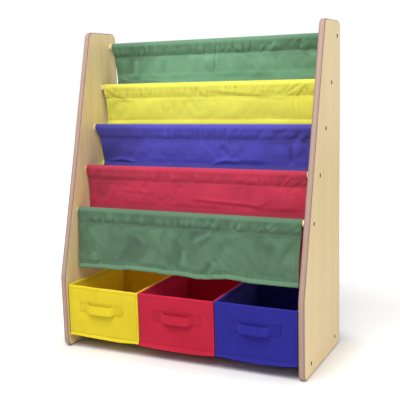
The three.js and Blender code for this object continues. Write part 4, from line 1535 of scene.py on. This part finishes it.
def strap_path(shape):
    """The middle of the strap from its left end to its right end, from above."""
    face = shape.front - FIT_GAP - STRAP_THICKNESS / 2
    half = STRAP_SPAN / 2
    shares = [(1, 0), (0.93, 0.24), (0.84, 0.72), (0.72, 0.95), (0.4, 1.03), (0, 1.06)]
    right = [Vector((half + STRAP_PATCH, 0))]
    right += [Vector((x * half, y * STRAP_STAND)) for x, y in shares]
    points = [Vector((-point.x, point.y)) for point in right] + right[-2::-1]
    centre = shape.middle.x + shape.strap_shift
    return Path(even_steps([Vector((centre + point.x, face - point.y)) for point in points], 1.0, 4))


class Strap:
    """The bin's handle: a strap folded to a flat tube, with a row of stitches near each long edge."""

    def __init__(self, shape):
        self.shape = shape
        self.path = strap_path(shape)
        self.half = STRAP_WIDTH / 2
        self.edge = STRAP_THICKNESS / 2
        self.bend = math.pi * self.edge
        self.flat_run = 2 * (self.half - self.edge)
        self.girth = 2 * self.flat_run + 2 * self.bend
        self.level = shape.top - STRAP_MIDDLE_DROP
        self.stands = []

    def section(self, around):
        """Height and thickness round the strap's section, starting at the foot of its front."""
        around %= self.girth
        side = 1 if around < self.flat_run + self.bend else -1
        if side < 0:
            around -= self.flat_run + self.bend
        if around < self.flat_run:
            return side * (around - self.flat_run / 2), side * self.edge
        angle = (around - self.flat_run) / self.edge
        up = self.flat_run / 2 + math.sin(angle) * self.edge
        return side * up, side * math.cos(angle) * self.edge

    def surface(self, across, along):
        """A place on the strap, from the length round its section and the length along it."""
        mark = along / MM
        middle, normal = self.path.at(mark)
        if normal.y > 0:
            normal = -normal
        up, thick = self.section(across / MM)
        seed = self.shape.seed
        to_end = min(mark, self.path.length - mark)
        on_loop = smoothstep(STRAP_PATCH - 1, STRAP_PATCH + 16, to_end)
        groove = bell(abs(up) - (self.half - STRAP_SEAM), 0.7)
        front = smoothstep(-0.3, 0.3, thick)
        swell = 0.12 * soft_noise(mark / 7, up / 5, seed)
        swell += 0.5 * on_loop * soft_noise(mark / 16, up / 14, seed + 4)
        # painted shade along the rows of stitches on its sewn ends and in its edge grooves, painted light
        # on its loop
        rows = sum(bell(to_end - lerp(PATCH_NEAR, PATCH_FAR, share), 0.9) for share in PATCH_ROWS)
        spots = 1 + 1.3 * soft_noise(mark / 1.7, up / 1.9, seed + 15)
        shaded = front * (0.11 * rows * spots + 0.07 * groove) - 0.04 * on_loop
        self.stands.append((0.0, shaded))
        thick *= smoothstep(-1.0, 1.2, to_end)
        thick += (swell - 0.16 * groove - 0.12 * rows) * front
        sag = 4 * on_loop + 0.6 * on_loop * soft_noise(mark / 18, 0, seed + 9)
        spot = middle + normal * thick
        lean = 0.14 * (up + self.half) * on_loop
        z = self.level + up * (1 - 0.16 * on_loop) - sag
        return Vector((spot.x, spot.y + lean, z)) * MM

    def front_surface(self, across, along):
        """The same, with across measured up from the middle of the strap's front."""
        return self.surface(across + self.flat_run / 2 * MM, along)

    def columns(self):
        front_end = self.flat_run + self.bend
        back_end = front_end + self.flat_run
        return joined_lengths(
            even(0, self.flat_run, 1.1), even(self.flat_run, front_end, self.bend / 5),
            even(front_end, back_end, 2.2), even(back_end, self.girth, self.bend / 5),
        )

    def outward(self, centre):
        return Vector((0, centre.y - (self.shape.front - 4) * MM, centre.z - self.level * MM))


def make_strap(strap, colour):
    bm = bmesh.new()
    rows = joined_lengths(even(0, strap.path.length, 1.3))
    spread_cloth(bm, strap.columns(), rows, strap.surface, strap.outward, stands=strap.stands)
    join_ends(bm)
    close_tube(bm)
    return finished_piece(
        f"{colour}_bin_strap", bm, FELTS[colour], f"{colour}_bin", [f"{colour}_bin_handle"],
    )


def sew_strap(bm, strap):
    """Stitches along both edges, and short rows across each sewn end."""
    edge, length, lift = strap.half - STRAP_SEAM, strap.path.length, 0.08
    for across in (-edge, edge):
        sew(bm, strap.front_surface, (across, 2), (across, length - 2), STRAP_STITCH, lift)
    for start, end in ((PATCH_NEAR, PATCH_FAR), (length - PATCH_FAR, length - PATCH_NEAR)):
        for share in PATCH_ROWS:
            along = lerp(start, end, share)
            sew(bm, strap.front_surface, (-edge, along), (edge, along), TACK_STITCH, lift)


class HemStrip:
    """The folded strip along the foot of a bin's front."""

    def __init__(self, shape):
        self.shape = shape
        self.half = shape.width / 2 + HEM_STRIP_REACH
        self.top = shape.bottom - HEM_STRIP_DROP + HEM_STRIP_HEIGHT
        self.run = HEM_STRIP_HEIGHT - HEM_EDGE
        self.bend = math.pi * HEM_EDGE
        self.stands = []

    def section(self, around):
        """Drop and stand of the strip's section: down its front, round its foot and up its back."""
        if around <= self.run:
            return around, HEM_EDGE
        if around <= self.run + self.bend:
            angle = (around - self.run) / HEM_EDGE
            return self.run + math.sin(angle) * HEM_EDGE, math.cos(angle) * HEM_EDGE
        return self.run - (around - self.run - self.bend), -HEM_EDGE

    def surface(self, across, along):
        """A place on the strip, from the length along it and the length round its section."""
        shape, from_middle = self.shape, across / MM - self.half
        drop, stand = self.section(along / MM)
        # painted shade along its seam and its top edge, and painted light down the rest of it
        shaded = 0.06 * bell(drop - HEM_SEAM, 0.8) + 0.08 * bell(drop, 1.2)
        self.stands.append((0.0, shaded - 0.1 * smoothstep(2, 5, drop)))
        wave = 0.5 * soft_noise(from_middle / 24, 1.5, shape.seed)
        wave += 0.25 * soft_noise(from_middle / 9, 4, shape.seed)
        flare = 1.6 * smoothstep(2, HEM_STRIP_HEIGHT, drop) * (1 + 0.8 * wave)
        out = 0.12 + flare
        sewn_on = 1 - smoothstep(0, 2.0, drop)
        if self.top - drop > shape.bottom:
            out += shape.wall_relief(0, from_middle, shape.top - self.top + drop) * sewn_on
        end = smoothstep(0, 1.5, self.half - abs(from_middle))
        out += (HEM_EDGE + stand) * (1 - sewn_on) * end
        if stand > 0:
            out -= 0.15 * bell(drop - HEM_SEAM, 0.7)
        sag = value_at(HEM_SAGS[shape.colour], from_middle) - 0.6 * wave
        sag *= smoothstep(-6 if sag < 0 else 1, HEM_STRIP_HEIGHT, drop)
        return Vector((shape.middle.x + from_middle, shape.front - out, self.top - drop - sag)) * MM

    def rows(self):
        back = self.run + self.bend
        return joined_lengths(
            even(0, self.run, 0.8), even(self.run, back, 0.4), even(back, back + self.run, 1.2),
        )

    def outward(self, centre):
        return Vector((0, centre.y - (self.shape.front - 0.9) * MM, centre.z - self.top * MM))


def make_hem_strip(strip, colour):
    bm = bmesh.new()
    columns = even(0, 2 * strip.half * MM, 2.2 * MM)
    spread_cloth(bm, columns, strip.rows(), strip.surface, strip.outward, stands=strip.stands)
    close_tube(bm)
    return finished_piece(
        f"{colour}_bin_hem", bm, FELTS[colour], f"{colour}_bin",
    )


def sew_bin(shape, strap, strip, colour):
    bm = bmesh.new()
    lift = BIN_CLOTH / 2 + 0.02
    level, low, high = shape.stitch_mark, shape.cover_floor + 8, shape.stitch_mark - 2
    start = 0.0
    for kind, length in shape.parts:
        end = start + length
        if kind == "side":
            sew(bm, shape.cover, (start + 1, level), (end - 1, level), BIN_STITCH, lift)
            for across in (start + FIN_WIDTH - BIN_CORNER, end - FIN_WIDTH + BIN_CORNER):
                sew(bm, shape.cover, (across, low), (across, high), BIN_STITCH, lift)
        start = end
    sew_strap(bm, strap)
    sew(bm, strip.surface, (2, HEM_SEAM), (2 * strip.half - 2, HEM_SEAM), STRIP_STITCH, 0.05)
    return finished_piece(
        f"{colour}_bin_stitching", bm, FELT_THREADS[colour], f"{colour}_bin",
    )


def join_ends(bm):
    """Joins the two ends of a grid that goes all the way round."""
    bmesh.ops.remove_doubles(bm, verts=bm.verts[:], dist=0.02 * MM)


def make_cover(shape, colour):
    bm = bmesh.new()
    spread_cloth(
        bm, shape.columns(), shape.cover_rows(), shape.cover, shape.outward, shape.flat_cover, shape.stands,
    )
    join_ends(bm)
    return finished_piece(
        f"{colour}_bin_cloth", bm, FELTS[colour], f"{colour}_bin", [f"{colour}_bin_cover"],
        BIN_CLOTH * MM,
    )


def make_lining(shape, colour):
    bm = bmesh.new()
    spread_cloth(
        bm, shape.columns(), shape.lining_rows(), shape.lining, shape.outward, shape.flat_lining,
    )
    join_ends(bm)
    return finished_piece(
        f"{colour}_bin_inside", bm, LININGS[colour], f"{colour}_bin", [f"{colour}_bin_lining"],
        BIN_CLOTH * MM,
    )


def cut_cross(width, depth, rise):
    """Size and area, in metres, of the cross that a floor and four walls are cut as."""
    size = ((width + 2 * rise) * MM, (depth + 2 * rise) * MM)
    return size, (width * depth + 2 * (width + depth) * rise) * MM * MM


def make_bin(colour):
    shape = BinShape(colour)
    strap, strip = Strap(shape), HemStrip(shape)
    cover = make_cover(shape, colour)
    lining = make_lining(shape, colour)
    handle = make_strap(strap, colour)
    hem = make_hem_strip(strip, colour)
    stitching = sew_bin(shape, strap, strip, colour)
    flat, area = cut_cross(shape.width, shape.depth, shape.height + RIM_TURN + RIM_RADIUS)
    inner_width, inner_depth = shape.width - 2 * LINING_INSET, shape.depth - 2 * LINING_INSET
    flat, area = cut_cross(inner_width, inner_depth, shape.height - 2)


def make_bins():
    for colour in BIN_COLOURS:
        make_bin(colour)


# The finishes by colour

def finishes_in(paints, make, kind):
    return {colour: make(f"{colour}_{kind}", *pair) for colour, pair in paints.items()}


CLOTHS = finishes_in(SLING_PAINTS, sling_finish, "sling_cloth")
# the top panel's cloth gets painted light, for light that comes through it from behind
TOP_CLOTH = sling_finish("green_sling_cloth_alone", *SLING_PAINTS["green"], painted_backlight=TOP_PANEL_PAINTED_LIGHT)
FELTS = finishes_in(BIN_PAINTS, bin_finish, "bin_felt")
LININGS = finishes_in(LINING_PAINTS, bin_finish, "bin_lining_felt")
THREADS, FELT_THREADS = {}, {}
for thread_colour, (light, _) in SLING_PAINTS.items():
    THREADS[thread_colour] = thread_finish(f"{thread_colour}_sling_thread", light)
for thread_colour, bin_thread_and_shade in BIN_THREAD_AND_SHADE_PAINTS.items():
    FELT_THREADS[thread_colour] = thread_finish(f"{thread_colour}_bin_thread", bin_thread_and_shade)


def dress_frame():
    """Gives the boards, rods and screws that stay as they are their finishes."""
    finishes = {"side_panel": panel_finish(), "sling_rod": rod_finish(), "screw": screw_finish()}
    finishes["base_rod"] = finishes["sling_rod"]
    board = pulp_board_finish()
    for name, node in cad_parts.items():
        chosen = next((finish for start, finish in finishes.items() if name.startswith(start)), None)
        if name.endswith("_board"):
            chosen = LININGS[name.split("_")[0]] if "base" in name else board
        if chosen:
            node.data.materials.clear()
            node.data.materials.append(chosen)


place_camera()
light_studio()
lay_floor()
dress_frame()
hang_sling()
make_bins()

bpy.context.view_layer.update()
